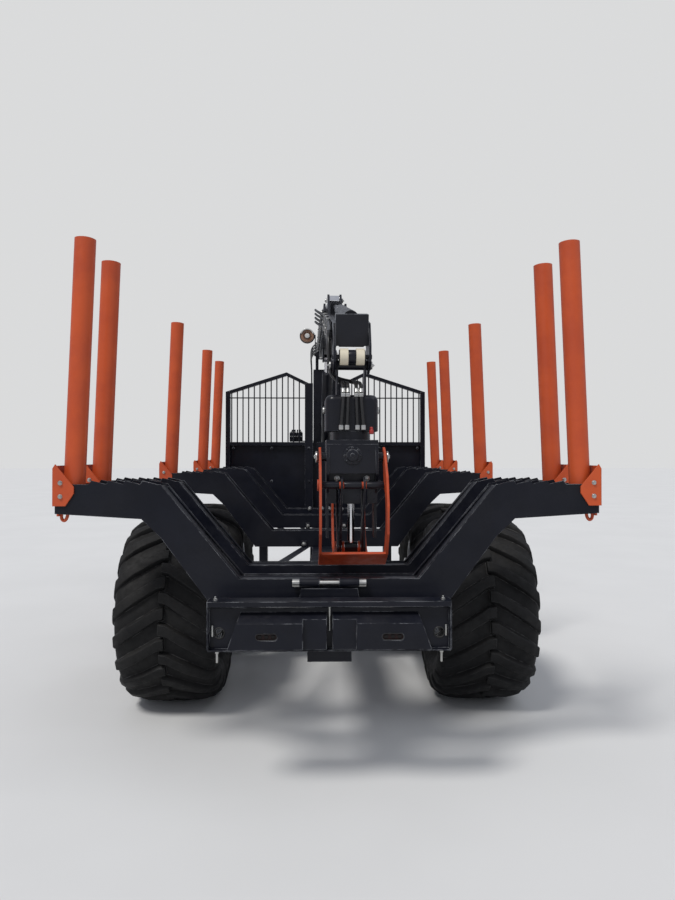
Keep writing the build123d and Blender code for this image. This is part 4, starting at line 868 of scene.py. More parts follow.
    def make_fittings(self, name: str, centre: Vector, hand: Hand) -> None:
        """Nuts, hub cap and valve on one rim's outer side.

        Args:
            name: the wheel's name.
            centre: its middle.
            hand: its side; its outside faces that way.
        """
        bench, side = self.bench, hand.value
        outward = Vector((side, 0, 0))
        around = Matrix.Translation(centre) @ Matrix.Rotation(math.pi * (side < 0), 4, "Z")
        places = [around @ Matrix.Translation((self.disc_face, *spot))
                  for spot in ring(self.nuts, self.nut_circle)]
        nut = bench.turned((0, 0, 0), (1, 0, 0), *self.nut_rows)
        bench.repeat("wheel_nuts_" + name, "wheel_" + name, ZINC, nut, places)
        parts = bench.turned(centre + outward * self.hub_face, outward, *self.cap_rows)
        stem = centre + Vector((side * (self.disc_face + 0.004), 0, self.valve_height))
        parts.append(bench.disc(stem, stem + Vector((side * 0.055, 0, -0.012)), 0.006, 12))
        bench.give("hub_cap_" + name, "wheel_" + name, BLACK, parts)


@dataclass(frozen=True)
class CranePlane:
    """The upright plane of the crane: reach outward from its column, height, and distance to the left."""

    foot_y: float = 1.6475
    slew: float = 1.35
    droop: float = 14.1
    knuckle_reach: float = 2.850
    knuckle_height: float = 2.751

    @property
    def outward(self) -> Vector:
        """Returns the direction in which the boom points."""
        turn = math.radians(self.slew)
        return Vector((math.sin(turn), -math.cos(turn), 0.0))

    @property
    def leftward(self) -> Vector:
        """Returns the direction to the crane's left, seen from behind the trailer."""
        turn = math.radians(self.slew)
        return Vector((-math.cos(turn), -math.sin(turn), 0.0))

    def at(self, reach: float, height: float, left: float = 0.0) -> Vector:
        """Returns a place given in this plane."""
        return Vector((0.0, self.foot_y, height)) + self.outward * reach + self.leftward * left

    def on_jib(self, distance: float, rise: float, left: float = 0.0) -> Vector:
        """A place along the jib.

        Args:
            distance: from the knuckle.
            rise: above the jib's axis.
            left: to the crane's left.

        Returns:
            The place.
        """
        cosine, sine = math.cos(math.radians(self.droop)), math.sin(math.radians(self.droop))
        return self.at(self.knuckle_reach + distance * cosine + rise * sine,
                       self.knuckle_height - distance * sine + rise * cosine, left)


class Workshop(Bench):
    """A bench that also makes hexagon bolts, tubes and hoses."""

    def bolts(self, name: str, body: str, places: Sequence[Matrix], size: float = 0.015, stud: bool = False,
              finish: Finish = ZINC) -> None:
        """Bolt heads on their washers at many places, as one piece.

        Args:
            name: the piece's name.
            body: what carries it.
            places: a transform for each, with +Z out of the surface.
            size: radius over a head's corners.
            stud: whether each has a threaded end on top.
            finish: what they are made of.
        """
        rows = [(-0.001, size * 0.18, size * 1.25, 20, size * 0.05),
                (size * 0.18, size * 0.95, size, 6, size * 0.12)]
        if stud:
            rows.append((size * 0.9, size * 1.9, size * 0.5, 12, size * 0.08))
        self.repeat(name, body, finish, self.turned((0, 0, 0), UP, *rows), places)

    def line(self, points: Sequence[Sequence[float]], radius: float, sides: int = 3) -> Piece:
        """A round tube along a smooth line.

        Args:
            points: the line's control points.
            radius: the tube's radius.
            sides: bevel resolution.

        Returns:
            The tube as a mesh.
        """
        self.clear()
        bpy.ops.curve.primitive_nurbs_path_add()
        piece = bpy.context.object
        curve = piece.data
        curve.splines.clear()
        spline = curve.splines.new("NURBS")
        spline.points.add(len(points) - 1)
        for point, place in zip(spline.points, points):
            point.co = (*place, 1.0)
        spline.order_u = min(4, len(points))
        spline.use_endpoint_u = True
        spline.resolution_u = 6
        curve.bevel_depth = radius
        curve.bevel_resolution = sides
        curve.use_fill_caps = True
        self.choose(piece)
        bpy.ops.object.convert(target="MESH")
        bpy.ops.object.shade_smooth()
        return bpy.context.object

    def hose(self, points: Sequence[Vector], radius: float) -> List[Piece]:
        """A hose with crimped fittings at both ends, each painted.

        Args:
            points: the line's control points.
            radius: the hose's radius.

        Returns:
            The hose and its fittings.
        """
        tube = self.line(points, radius)
        self.palette.paint(tube, HOSE)
        ends = []
        for first, second in ((points[0], points[1]), (points[-1], points[-2])):
            ends += self.turned(first, (second - first).normalized(),
                                (0.0, radius * 4.2, radius * 1.32, 16, radius * 0.15),
                                (radius * -0.6, radius * 0.9, radius * 1.6, 6, radius * 0.1))
        metal = self.join("hose_ends", ends)
        self.palette.paint(metal, ZINC)
        return [tube, metal]


@dataclass
class BunkTrim:
    """The stakes' caps, bracket bolts and hooks, and the bunks' bolts, clamp plates and weld beads."""

    bench: Workshop
    stations: Numbers = (0.300, 0.700, 2.380, 3.770, 4.560)
    top_x: float = 1.1837
    top_z: float = 2.642
    lean: float = 2.3
    cap_radius: float = 0.049
    bracket_bolt_x: float = 1.270
    bracket_bolt_z: Numbers = (1.462, 1.398)
    bracket_depth: float = 0.0835
    hook_x: float = 1.271
    hook_line: Tuple[Triple, ...] = (
        (-0.010, 0, 1.372), (-0.010, 0, 1.320), (-0.004, 0, 1.280), (0.018, 0, 1.272), (0.026, 0, 1.294),
        (0.022, 0, 1.312))
    half_depth: float = 0.075
    bolt_x: Numbers = (-0.179, -0.041, 0.041, 0.179)
    bolt_z: Numbers = (1.002, 0.925)
    clamp_x: Numbers = (0.159, 0.179, 0.199)
    clamp_z: Numbers = (0.872, 0.900, 0.928)
    clamp_thickness: float = 0.012
    weld_line: Pairs = (
        (0.0, 0.996), (0.420, 0.996), (0.795, 1.436), (1.150, 1.436))
    weld_radius: float = 0.005

    def build(self) -> None:
        """Makes the pieces of the sliding end's bunk and of the fixed bunks."""
        sets = (("rear", "rear_end", self.stations[:1]), ("front", "trailer", self.stations[1:]))
        for name, body, stations in sets:
            self.make_stake_trim(name, body, stations)
        self.make_bolts()
        self.make_clamps()
        for name, body, stations in sets:
            self.make_beads(name, body, stations)

    def make_stake_trim(self, name: str, body: str, stations: Sequence[float]) -> None:
        """Makes caps, bolts and hooks of the stakes at some bunks.

        Args:
            name: the set's name.
            body: what carries it.
            stations: the bunks' stations.
        """
        bench = self.bench
        caps, bolts, hooks = [], [], []
        lean = math.radians(self.lean)
        for place, side in product(stations, SIDES):
            y = station(place)
            axis = (-side * math.sin(lean), 0, math.cos(lean))
            caps.append(facing((side * self.top_x, y, self.top_z), axis))
            hooks.append(Matrix.Translation((side * self.hook_x, y, 0))
                         @ (MIRROR_X if side < 0 else Matrix.Identity(4)))
            bolts += [facing((side * self.bracket_bolt_x, y + face * self.bracket_depth, z), (0, face, 0))
                      for z, face in product(self.bracket_bolt_z, SIDES)]
        cap = bench.turned((0, 0, 0), UP, (-0.012, 0.002, self.cap_radius, 40, 0.004))
        bench.repeat("stake_caps_" + name, body, ORANGE, cap, caps)
        bench.bolts("stake_bolts_" + name, body, bolts, 0.009)
        hook = [bench.line(self.hook_line, 0.008),
                bench.disc((-0.010, -0.020, 1.366), (-0.010, 0.020, 1.366), 0.013, 16)]
        bench.repeat("strap_hooks_" + name, body, ORANGE, hook, hooks)

    def make_bolts(self) -> None:
        """Bolts on both faces of the foremost bunk."""
        y = station(self.stations[-1])
        places = [facing((x, y + face * self.half_depth, z), (0, face, 0))
                  for face, x, z in product(SIDES, self.bolt_x, self.bolt_z)]
        self.bench.bolts("bunk_bolts", "trailer", places, 0.014, True)

    def make_clamps(self) -> None:
        """Plates beside the beam, on both faces of the two middle bunks."""
        bench = self.bench
        plates, bolts = [], []
        (inner, middle, outer), (low, bolt_z, high) = self.clamp_x, self.clamp_z
        for place, side, face in product(self.stations[2:4], SIDES, SIDES):
            near = station(place) + face * (self.half_depth + 0.0005)
            far = near + face * self.clamp_thickness
            plates.append(bench.block((side * inner, near, low), (side * outer, far, high)))
            bolts.append(facing((side * middle, far, bolt_z), (0, face, 0)))
        bench.give("clamp_plates", "trailer", BLACK, plates)
        bench.bolts("clamp_bolts", "trailer", bolts, 0.014, True)

    def make_beads(self, name: str, body: str, stations: Sequence[float]) -> None:
        """Weld beads where the bunks' inner strip meets their plates.

        Args:
            name: the set's name.
            body: what carries it.
            stations: the bunks' stations.
        """
        beads = []
        for place, face, side in product(stations, SIDES, SIDES):
            y = station(place) + face * (self.half_depth - 0.0105)
            points = [(side * x, y, z) for x, z in self.weld_line]
            beads += [self.bench.line(pair, self.weld_radius, 1) for pair in zip(points, points[1:])]
        self.bench.give("weld_beads_" + name, body, BLACK, beads)


@dataclass
class RearTrim:
    """Bolts, pins, lamp inserts and grommets of the rear panel."""

    bench: Workshop
    body: str = "rear_end"
    flange_top: float = 0.940
    flange_bolt_x: Numbers = (-0.515, 0.515)
    stud_x: float = 0.505
    lamp_x: float = 0.281
    lamp_z: float = 0.788
    eye_spots: Numbers = (-0.030, 0.0, 0.030)
    rim_radius: float = 0.0145
    rim_reach: float = 0.0335
    grommet_x: float = 0.497
    grommet_z: float = 0.792
    cable: Tuple[Triple, ...] = (
        (-0.014, 0.066, 0.780), (0.0, 0.058, 0.792), (0.016, 0.072, 0.800), (0.02, 0.095, 0.80))

    def build(self) -> None:
        """Makes the rear panel's pieces."""
        bench = self.bench
        tops = [facing((x, station(0.065), self.flange_top), UP) for x in self.flange_bolt_x]
        bench.bolts("flange_bolts", self.body, tops, 0.009, True)
        pins = []
        for side in SIDES:
            x, y = side * self.stud_x, station(0.050)
            pins.append(bench.disc((x, y, 0.721), (x, y, 0.662), 0.005, 16))
            pins.append(bench.disc((x, y, 0.704), (x, y, 0.716), 0.009, 6))
            pins.append(bench.block((x + side * 0.018, station(0.052), 0.778),
                                    (x + side * 0.026, station(0.060), 0.828), 0.001))
        bench.give("panel_pins", self.body, ZINC, pins)
        self.make_lamps()
        self.make_grommets()

    def make_lamps(self) -> None:
        """Smoked inserts and a rubber rim in each lamp slot."""
        bench = self.bench
        eyes, rims = [], []
        for side in SIDES:
            middle = side * self.lamp_x
            for x in self.eye_spots:
                base = (middle + x, station(0.0105), self.lamp_z)
                eyes += bench.turned(base, (0, -1, 0), (0.0, 0.0045, 0.0095, 20))
            spots = ring(24, self.rim_radius, 0.0)
            points = [(middle + math.copysign(self.rim_reach, x) + x, station(0.0024), self.lamp_z + z)
                      for x, z in spots + spots[:1]]
            rims.append(bench.line(points, 0.0022, 2))
        bench.give("lamp_eyes", self.body, SMOKED_LENS, eyes)
        bench.give("lamp_rims", self.body, SEAL, rims)

    def make_grommets(self) -> None:
        """Round rubber-edged holes in the panel's ends, with a cable through each."""
        bench = self.bench
        pieces = []
        for side in SIDES:
            x = side * self.grommet_x
            grommet = bench.torus(0.0235, 0.0035, 32, 10)
            grommet.location = (x, station(0.060), self.grommet_z)
            grommet.rotation_euler = (math.pi / 2, 0, 0)
            cable = [(x + out, station(place), z) for out, place, z in self.cable]
            pieces += [bench.settle(grommet), bench.line(cable, 0.004)]
        bench.give("panel_grommets", self.body, SEAL, pieces)


@dataclass
class CraneTrim:
    """Pin caps, bolts, the work lamp's lens and hood, and the valve block's and slewing tubes' fittings."""

    bench: Workshop
    plane: CranePlane = field(default_factory=CranePlane)
    pins: Tuple[Tuple[str, float, float, float, float], ...] = (
        ("trailer", 0.0, 2.860, 0.135, 0.034), ("trailer", 0.230, 1.650, 0.070, 0.019),
        ("boom", 0.950, 2.660, 0.070, 0.019), ("boom", 1.500, 3.060, 0.066, 0.019),
        ("boom", 2.850, 2.751, 0.105, 0.026), ("jib", 2.7157, 2.8854, 0.066, 0.019),
        ("jib_extension", 4.850, 2.060, 0.105, 0.021))
    face_bolts: Pairs = (
        (-0.005, 2.354), (-0.032, 2.457), (-0.005, 2.470), (-0.036, 2.554), (-0.010, 2.585))
    column_face: float = 0.1352
    column_side: float = 0.1482
    seat_bolt_x: float = 0.232
    seat_bolt_y: Numbers = (-0.27, -0.09, 0.09, 0.27)
    seat_top: float = 0.905
    lamp_left: float = 0.225
    lamp_height: float = 3.060
    lamp_face: float = 0.0765
    hood_radius: float = 0.081
    valve_left: float = 0.296
    valve_pitch: float = 0.0256
    tube_y: float = 0.120
    tube_z: float = 1.010
    tube_end: float = 0.430

    def build(self) -> None:
        """Makes the crane's small pieces."""
        self.make_pin_caps()
        self.make_column_bolts()
        self.make_lamp()
        self.make_valve_plugs()
        self.make_tube_covers()

    def make_pin_caps(self) -> None:
        """A round cap and a centred nipple on both ends of every pin."""
        bench = self.bench
        for number, (body, reach, height, half, radius) in enumerate(self.pins, 1):
            parts = []
            for side in SIDES:
                parts += bench.turned(self.plane.at(reach, height, side * half), self.plane.leftward * side,
                                      (-0.002, 0.007, radius, 36, 0.003),
                                      (0.007, 0.0125, radius * 0.42, 6, 0.001),
                                      (0.007, 0.018, radius * 0.17, 12, 0.001))
            bench.give("pin_caps_%d" % number, body, ZINC, parts)

    def make_column_bolts(self) -> None:
        """Bolts on the column's rear face, its sides and its seat."""
        out, left = self.plane.outward, self.plane.leftward
        places = [facing(self.plane.at(self.column_face, z, v), out) for v, z in self.face_bolts]
        places += [facing(self.plane.at(reach, height, side * self.column_side), left * side)
                   for side, reach, height in product(SIDES, (-0.09, 0.09), (1.260, 1.345))]
        self.bench.bolts("column_bolts", "trailer", places, 0.014, True)
        seat = [facing((side * self.seat_bolt_x, self.plane.foot_y + y, self.seat_top), UP)
                for side, y in product(SIDES, self.seat_bolt_y)]
        self.bench.bolts("seat_bolts", "trailer", seat, 0.021, True)

    def make_lamp(self) -> None:
        """The work lamp's rim, its warm lens, and the pale cap in its middle with the thin hood above."""
        bench = self.bench
        rim = bench.torus(0.085, 0.006, 48, 12)
        ribs = [(0.001, 0.006, radius, 40) for radius in (0.043, 0.056, 0.069)]
        lens = bench.turned((0, 0, 0), UP, (-0.004, 0.003, 0.083, 48), *ribs)
        cap = bench.turned((0, 0, 0), UP, (0.002, 0.012, 0.030, 32, 0.004))
        arc = []
        for step in range(11):
            cosine, sine = math.cos(math.radians(20 + 14 * step)), math.sin(math.radians(20 + 14 * step))
            arc.append((self.hood_radius * cosine, self.hood_radius * sine, 0.006 + 0.012 * sine))
        cap.append(bench.line(arc, 0.010))
        turn = facing(self.plane.at(self.lamp_face, self.lamp_height, self.lamp_left), self.plane.outward)
        for name, finish, parts in (("lamp_ring", SEAL, [rim]), ("lamp_glass", LAMP_AMBER, lens),
                                    ("lamp_cap", PALE_LENS, cap)):
            bench.repeat(name, "trailer", finish, parts, [turn])

    def make_valve_plugs(self) -> None:
        """Hexagon plugs and ports on the valve block."""
        bench, at = self.bench, self.plane.at
        plugs = []
        for left in [self.valve_left + self.valve_pitch * index for index in range(6)]:
            for side in SIDES:
                plugs += bench.turned(at(side * 0.1, 1.825, left), self.plane.outward * side,
                                      (-0.002, 0.012, 0.008, 6, 0.001))
            plugs += bench.turned(at(-0.035, 1.873, left), UP, (0.0, 0.019, 0.0095, 6, 0.001))
        bench.give("valve_plugs", "trailer", ZINC, plugs)

    def make_tube_covers(self) -> None:
        """Bolted covers and ports on the ends of the slewing tubes."""
        bench = self.bench
        covers, bolts = [], []
        for side, y in product(SIDES, (-self.tube_y, self.tube_y)):
            at = Vector((side * self.tube_end, self.plane.foot_y + y, self.tube_z))
            covers += bench.turned(at, (side, 0, 0), (-0.012, 0.012, 0.062, 40, 0.004))
            covers += bench.turned(at + Vector((-side * 0.035, 0, 0.054)), UP, (0.0, 0.026, 0.013, 6, 0.001))
            bolts += [facing(at + Vector((side * 0.012, *spot)), (side, 0, 0)) for spot in ring(4, 0.046)]
        bench.give("slew_covers", "trailer", CRANE_BLACK, covers)
        bench.bolts("slew_cover_bolts", "trailer", bolts, 0.008)


@dataclass
class HoseTrim:
    """The crane's hoses: four lanes up the column, along both arms, and down to the grapple."""

    bench: Workshop
    plane: CranePlane = field(default_factory=CranePlane)
    lanes: Numbers = (0.048, 0.016, -0.016, -0.048)
    elbow_lanes: Numbers = (0.045, 0.021, -0.021, -0.045)
    side: float = 0.099
    radius: float = 0.0092
    sink: float = 0.048

    def build(self) -> None:
        """Makes each run; a run within one body is handed to that body, a run between two is left free."""
        at, on_jib, side, sink = self.plane.at, self.plane.on_jib, self.side, self.sink
        self.run("hoses_column", "trailer", None, lambda lane: [
            at(0.02 + 0.6 * lane, height, left) for height, left in (
                (1.215, 0.170), (1.60, 0.168), (2.10, 0.168), (2.600, 0.170))])
        self.run("hoses_shoulder", "trailer", "boom", lambda lane: [
            at(0.02 + 0.6 * lane, 2.600, 0.170), at(0.02 + 0.6 * lane, 2.72, 0.172),
            at(0.06, 2.80 + lane, 0.185), at(0.22, 2.86 + lane, 0.165), at(0.34, 2.87 + lane, 0.115),
            at(0.45, 2.870 + lane, side)])
        self.run("hoses_boom", "boom", None, lambda lane: [
            at(reach, height + lane, side) for reach, height in (
                (0.45, 2.870), (1.1, 2.862), (1.7, 2.850), (2.10, 2.805), (2.45, 2.770))])
        self.run("hoses_knuckle", "boom", "jib", lambda lane: [
            at(2.45, 2.770 + lane, side), at(2.58, 2.757 + lane, side + 0.01), at(2.72, 2.745 + lane, 0.148),
            at(2.86, 2.735 + lane, 0.164), on_jib(0.14, lane - 0.03, 0.148),
            on_jib(0.26, lane - 0.044, side + 0.004), on_jib(0.36, lane * 0.9 - sink, side - 0.008)])
        self.run("hoses_jib", "jib", None, lambda lane: [
            on_jib(0.36 + 0.31 * step, lane * 0.9 - sink, side - 0.008) for step in range(4)])
        self.run("hoses_reach", "jib", "jib_extension", lambda lane: [
            on_jib(run, lane * closer - sink, side + out) for run, closer, out in (
                (1.29, 0.9, -0.008), (1.42, 0.8, -0.004), (1.66, 0.7, 0.0), (1.88, 0.65, 0.004),
                (1.98, 0.6, 0.016))])
        self.run("hoses_tip", "jib_extension", "tip_link", self.tip_lane)
        self.make_drops()
        self.make_bushes()
        self.make_clamps()

    def run(self, name: str, first: str, second: Optional[str],
            points: Callable[[float], List[Vector]]) -> None:
        """Makes the four hoses of one run.

        Args:
            name: the piece's name.
            first: the body at its start.
            second: the body at its end, if it is another.
            points: gives a hose's points from its lane.
        """
        bench = self.bench
        piece = bench.join(name, [bench.line(points(lane), self.radius) for lane in self.lanes])
        if second is None:
            bench.hand_over(piece, first, HOSE)
            return
        bench.palette.paint(piece, HOSE)
        line = points(self.lanes[1])
        tuple(line[0])
        tuple(line[-1])
        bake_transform(piece)
        LOG.info("%s bends from %s to %s", name, first, second)

    def tip_lane(self, lane: float) -> List[Vector]:
        """Points of one hose from the jib's tip to its elbow on the link.

        Args:
            lane: its offset in the bundle.

        Returns:
            The points.
        """
        at, on_jib = self.plane.at, self.plane.on_jib
        index = self.lanes.index(lane)
        back, left = 0.006 * index, self.elbow_lanes[index]
        return [on_jib(1.98, lane * 0.6 - self.sink, self.side + 0.016),
                on_jib(2.06, lane * 0.5 - 0.060, 0.116), at(4.830, 2.080 - 0.012 * index, 0.112),
                at(4.815 - back, 2.020, 0.102), at(4.830 - back, 1.990, 0.074 + left * 0.3),
                at(4.880, 1.966, left), at(4.925, 1.960, left), at(4.945, 1.934, left)]

    def make_bushes(self) -> None:
        """A dark bush between the two rollers and one outside each, all on the rollers' axle."""
        bench = self.bench
        low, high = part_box("hose_rollers")
        radius = (high[2] - low[2]) * 0.42
        rows = [(first, last, radius, 32, 0.003)
                for first, last in ((-0.0195, 0.0195), (0.0630, 0.0665), (-0.0665, -0.0630))]
        bushes = bench.turned(middle_of("hose_rollers"), self.plane.leftward, *rows)
        bench.give("roller_bushes", "jib_extension", CRANE_BLACK, bushes)

    def make_drops(self) -> None:
        """Elbows on the link and four hoses down the front of its housing."""
        bench, at = self.bench, self.plane.at
        bend = ((4.945, 1.934), (4.944, 1.926), (4.950, 1.916), (4.956, 1.906))
        drop = ((4.957, 1.892, 1.0), (4.964, 1.85, 1.0), (4.966, 1.80, 1.15), (4.960, 1.735, 1.25))
        metal, drops = [], []
        for left in self.elbow_lanes:
            low = left * drop[-1][2]
            metal.append(bench.line([at(reach, height, left) for reach, height in bend], 0.0115))
            metal.append(bench.disc(at(4.956, 1.905, left), at(4.957, 1.887, left), 0.0130, 6, 0.001))
            route = [at(reach, height, left * out) for reach, height, out in drop]
            drops.append(bench.line(route, self.radius))
            metal.append(bench.disc(at(4.960, 1.745, low), at(4.959, 1.722, low), 0.0130, 6, 0.001))
        bench.give("link_elbows", "tip_link", ZINC, metal)
        bench.give("link_drops", "tip_link", HOSE, drops)

    def make_clamps(self) -> None:
        """Clamp strips over the bundle on the column, the boom and the jib."""
        bench, at = self.bench, self.plane.at
        base = Matrix((self.plane.outward, self.plane.leftward, UP)).transposed().to_4x4()
        narrow = Matrix.Scale(0.62, 4, UP)
        boom = [at(reach, height, self.side)
                for reach, height in ((0.55, 2.868), (1.10, 2.862), (1.60, 2.853), (2.36, 2.779))]
        jib = [self.plane.on_jib(run, -self.sink, self.side - 0.008) for run in (0.42, 0.83, 1.22)]
        column = [at(0.02, height, 0.170) for height in (1.45, 1.95, 2.45)]
        for body, spots, droop in (("boom", boom, 0.0), ("jib", jib, self.plane.droop),
                                   ("trailer", column, 90.0)):
            turn = base @ Matrix.Rotation(math.radians(droop), 4, "Y")
            if body == "trailer":
                turn = turn @ narrow
            strip = [bench.block((-0.015, 0.0105, -0.066), (0.015, 0.0150, 0.066), 0.002)]
            strip.append(bench.disc((0, 0.014, 0), (0, 0.022, 0), 0.009, 6, 0.001))
            strip += [bench.block((-0.013, -0.016, z - 0.004), (0.013, 0.012, z + 0.004), 0.001)
                      for z in (-0.063, 0.063)]
            places = [Matrix.Translation(spot) @ turn for spot in spots]
            bench.repeat("hose_clamps_" + body, body, ZINC, strip, places)


@dataclass
class GrappleTrim:
    """Hub, bolts, pin caps and bosses of the grapple and the link above it."""

    bench: Workshop
    plane: CranePlane = field(default_factory=CranePlane)
    centre: float = 4.850
    face: float = 0.0862
    cover: float = 0.1312
    hub_z: float = 1.592
    bolt_left: float = 0.076
    bolt_z: float = 1.476
    cross_z: float = 1.120
    pin_reach: float = 0.095
    pin_z: float = 1.585
    bar_reach: float = 0.155
    bar_z: float = 1.445

    def build(self) -> None:
        """Makes the grapple's small pieces."""
        self.make_hub()
        self.make_caps()
        self.make_sleeves()
        self.make_link_pins()

    def at(self, out: float, height: float, left: float = 0.0) -> Vector:
        """Returns a place measured from the grapple's own axis."""
        return self.plane.at(self.centre + out, height, left)

    def outside(self, out: float, height: float, *rows: Numbers) -> List[Piece]:
        """Discs in line across the grapple, on both its sides.

        Args:
            out: their distance from the grapple's axis.
            height: their height.
            rows: as for discs turned on one axis.

        Returns:
            The discs.
        """
        made = []
        for side in SIDES:
            made += self.bench.turned(self.at(out, height), self.plane.leftward * side, *rows)
        return made

    def make_hub(self) -> None:
        """A round hub with a raised ring on the face plate, and the bolts below and above it."""
        bench, cover, out = self.bench, self.cover, self.plane.outward
        hub = bench.turned(self.at(cover, self.hub_z), out, (-0.002, 0.006, 0.0465, 48),
                           (0.0, 0.014, 0.030, 40, 0.004), (0.012, 0.017, 0.012, 6))
        for left, up in ring(8, 0.0385, 0.0):
            hub += bench.turned(self.at(cover, self.hub_z + up, left), out, (0.0, 0.010, 0.005, 6, 0.001))
        bench.give("grapple_hub", "grapple", CRANE_BLACK, hub)
        places = [facing(self.at(self.face, self.bolt_z, side * self.bolt_left), out) for side in SIDES]
        bench.bolts("face_bolts", "grapple", places, 0.012, True)
        rim = [facing(self.at(reach, 1.6455, left), (0, 0, -1)) for reach, left in ring(8, 0.083)]
        bench.bolts("rotor_bolts", "grapple", rim, 0.011)

    def make_caps(self) -> None:
        """Caps on the claw pins, and bosses on the claws' cross bars."""
        caps = []
        for out in (-self.pin_reach, self.pin_reach):
            caps += self.outside(out, self.pin_z, (0.174, 0.183, 0.029, 32, 0.003),
                                 (0.183, 0.190, 0.012, 6, 0.001))
        rear = self.outside(self.bar_reach, self.bar_z, (0.167, 0.176, 0.029, 32, 0.003))
        front = self.outside(-self.bar_reach, self.bar_z, (0.091, 0.101, 0.029, 32, 0.003))
        self.bench.give("claw_pin_caps", "grapple", ZINC, caps)
        self.bench.give("claw_bosses_rear", "claw_rear", GRAPPLE_ORANGE, rear)
        self.bench.give("claw_bosses_front", "claw_front", GRAPPLE_ORANGE, front)

    def make_sleeves(self) -> None:
        """Dark sleeves between the links on the claws' cross bars and the crosshead, and its two discs."""
        bench = self.bench
        rear, front = self.at(self.bar_reach, self.bar_z), self.at(-self.bar_reach, self.bar_z)
        crosshead = self.at(0.0, self.cross_z)
        for name, body, middle, radius, sides, spans in (
                ("bar_sleeves_claw_rear", "claw_rear", rear, 0.0185, 32,
                 ((-0.155, -0.068), (-0.044, 0.044), (0.068, 0.155))),
                ("bar_sleeves_claw_front", "claw_front", front, 0.0185, 32, ((-0.056, 0.056),)),
                ("crosshead_sleeve", "crosshead", crosshead, 0.0280, 40, ((-0.034, 0.034),))):
            rows = [(first, last, radius, sides) for first, last in spans]
            bench.give(name, body, CRANE_BLACK, bench.turned(middle, self.plane.leftward, *rows))
        discs = self.outside(0.0, self.cross_z, (0.0345, 0.0475, 0.0300, 40))
        bench.give("crosshead_discs", "crosshead", GRAPPLE_ORANGE, discs)

    def make_link_pins(self) -> None:
        """Bright pin ends on the housing's sides, a red plug, and a pale band round its foot."""
        bench = self.bench
        ends = self.outside(0.0, 1.825, (0.132, 0.146, 0.019, 32, 0.004))
        bench.give("housing_pin_ends", "tip_link", ZINC, ends)
        plug = [bench.disc(self.at(0.097, 1.722, -0.098), self.at(0.099, 1.700, -0.098), 0.011, 20, 0.003),
                bench.disc(self.at(0.094, 1.735, -0.098), self.at(0.097, 1.720, -0.098), 0.008, 12, 0.001)]
        bench.give("red_plug", "tip_link", RED_CAP, plug)
        band = bench.turned(self.at(0.0, 1.7150), UP, (0.0, 0.0025, 0.094, 48, 0.001))
        bench.give("rotor_seal", "tip_link", ZINC, band)


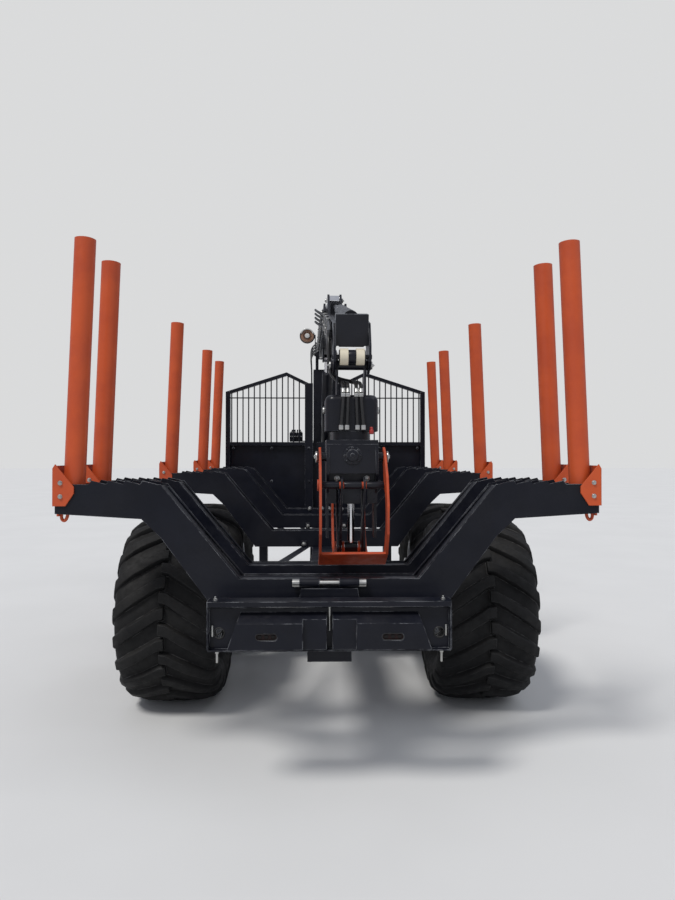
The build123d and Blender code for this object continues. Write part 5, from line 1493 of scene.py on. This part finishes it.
@dataclass
class ChassisTrim:
    """Pivot caps of the bogie, leg fittings with their hoses, headboard bolts and the tow bar's couplings."""

    bench: Workshop
    leg_x: float = 0.760
    leg_y: float = 1.6475
    leg_top: float = 1.220
    leg_bolt: float = 0.042
    hose_y: float = 0.03
    hose_radius: float = 0.008
    port_heights: Numbers = (1.150, 0.520)
    post_x: Numbers = (0.193, 0.62, 1.06)
    post_z: Numbers = (0.97, 1.30, 1.68)
    head_y: float = 1.0975
    coupling_x: float = 0.024
    coupling_z: float = 0.768

    def build(self) -> None:
        """Makes the chassis's small pieces."""
        self.make_pivots()
        self.make_legs()
        self.make_headboard()
        self.make_tow_couplings()

    def make_pivots(self) -> None:
        """Round bolted covers where the bogie beams turn."""
        bench = self.bench
        middle = middle_of("cross_axle")
        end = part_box("cross_axle")[1][0]
        covers, bolts = [], []
        for side in SIDES:
            at = Vector((side * end, middle.y, middle.z))
            covers += bench.turned(at, (side, 0, 0), (-0.004, 0.010, 0.046, 40, 0.004))
            bolts += [facing(at + Vector((side * 0.010, *spot)), (side, 0, 0)) for spot in ring(4, 0.030)]
        bench.give("pivot_covers", "trailer", BLACK, covers)
        bench.bolts("pivot_bolts", "trailer", bolts, 0.007)

    def make_legs(self) -> None:
        """Bolts and ports on the leg tubes, with two hoses from each to the beam."""
        bench = self.bench
        metal: List[Piece] = []
        bolts: List[Matrix] = []
        hoses: List[Piece] = []
        for side in SIDES:
            x = side * self.leg_x
            bolts += [facing((x + across, self.leg_y + along, self.leg_top), UP)
                      for across, along in product((-self.leg_bolt, self.leg_bolt), repeat=2)]
            for row, z in enumerate(self.port_heights):
                start = Vector((x - side * 0.058, self.leg_y + 0.02, z))
                metal += bench.turned(start, (-side, 0, 0), (0.0, 0.020, 0.012, 6, 0.001))
                end = start - Vector((side * 0.020, 0, 0))
                rise = 0.04 * row
                route = ((0.50, z - 0.10), (0.36, 0.66 + rise), (0.20, 0.68 + rise), (0.125, 0.70 + rise))
                points = [end, end - Vector((side * 0.07, 0, 0))]
                points += [Vector((side * away, self.leg_y + self.hose_y, height)) for away, height in route]
                hoses += bench.hose(points, self.hose_radius)
        bench.give("leg_ports", "trailer", ZINC, metal)
        bench.give("leg_hoses", "trailer", None, hoses)
        bench.bolts("leg_bolts", "trailer", bolts, 0.010)

    def make_headboard(self) -> None:
        """Bolts along the headboard's posts and sheet."""
        places = [facing((side * x, self.head_y, z), (0, -1, 0))
                  for side, x, z in product(SIDES, self.post_x, self.post_z)]
        self.bench.bolts("headboard_bolts", "trailer", places, 0.012, finish=BLACK)

    def make_tow_couplings(self) -> None:
        """Two capped couplings on the tow bar."""
        couplings = []
        for side in SIDES:
            base = (side * self.coupling_x, station(6.75), self.coupling_z)
            couplings += self.bench.turned(base, UP, (0.0, 0.034, 0.014, 24), (0.010, 0.020, 0.018, 24))
        self.bench.give("tow_couplings", "drawbar", ZINC, couplings)


def dress_nodes(palette: Palette) -> None:
    """Gives every CAD node its finish."""
    for name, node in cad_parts.items():
        palette.paint(node, finish_of(name))


def main() -> None:
    """Builds the studio and dresses every sub-assembly."""
    logging.basicConfig(level=logging.INFO, format="%(message)s")
    bpy.context.scene.view_settings.view_transform = "Standard"
    Studio().build()
    bench = Workshop(Palette())
    dress_nodes(bench.palette)
    for assembly in (WheelSet, BunkTrim, RearTrim, CraneTrim, HoseTrim, GrappleTrim, ChassisTrim):
        LOG.info("building %s", assembly.__name__)
        assembly(bench).build()


if __name__ == "__main__":
    main()
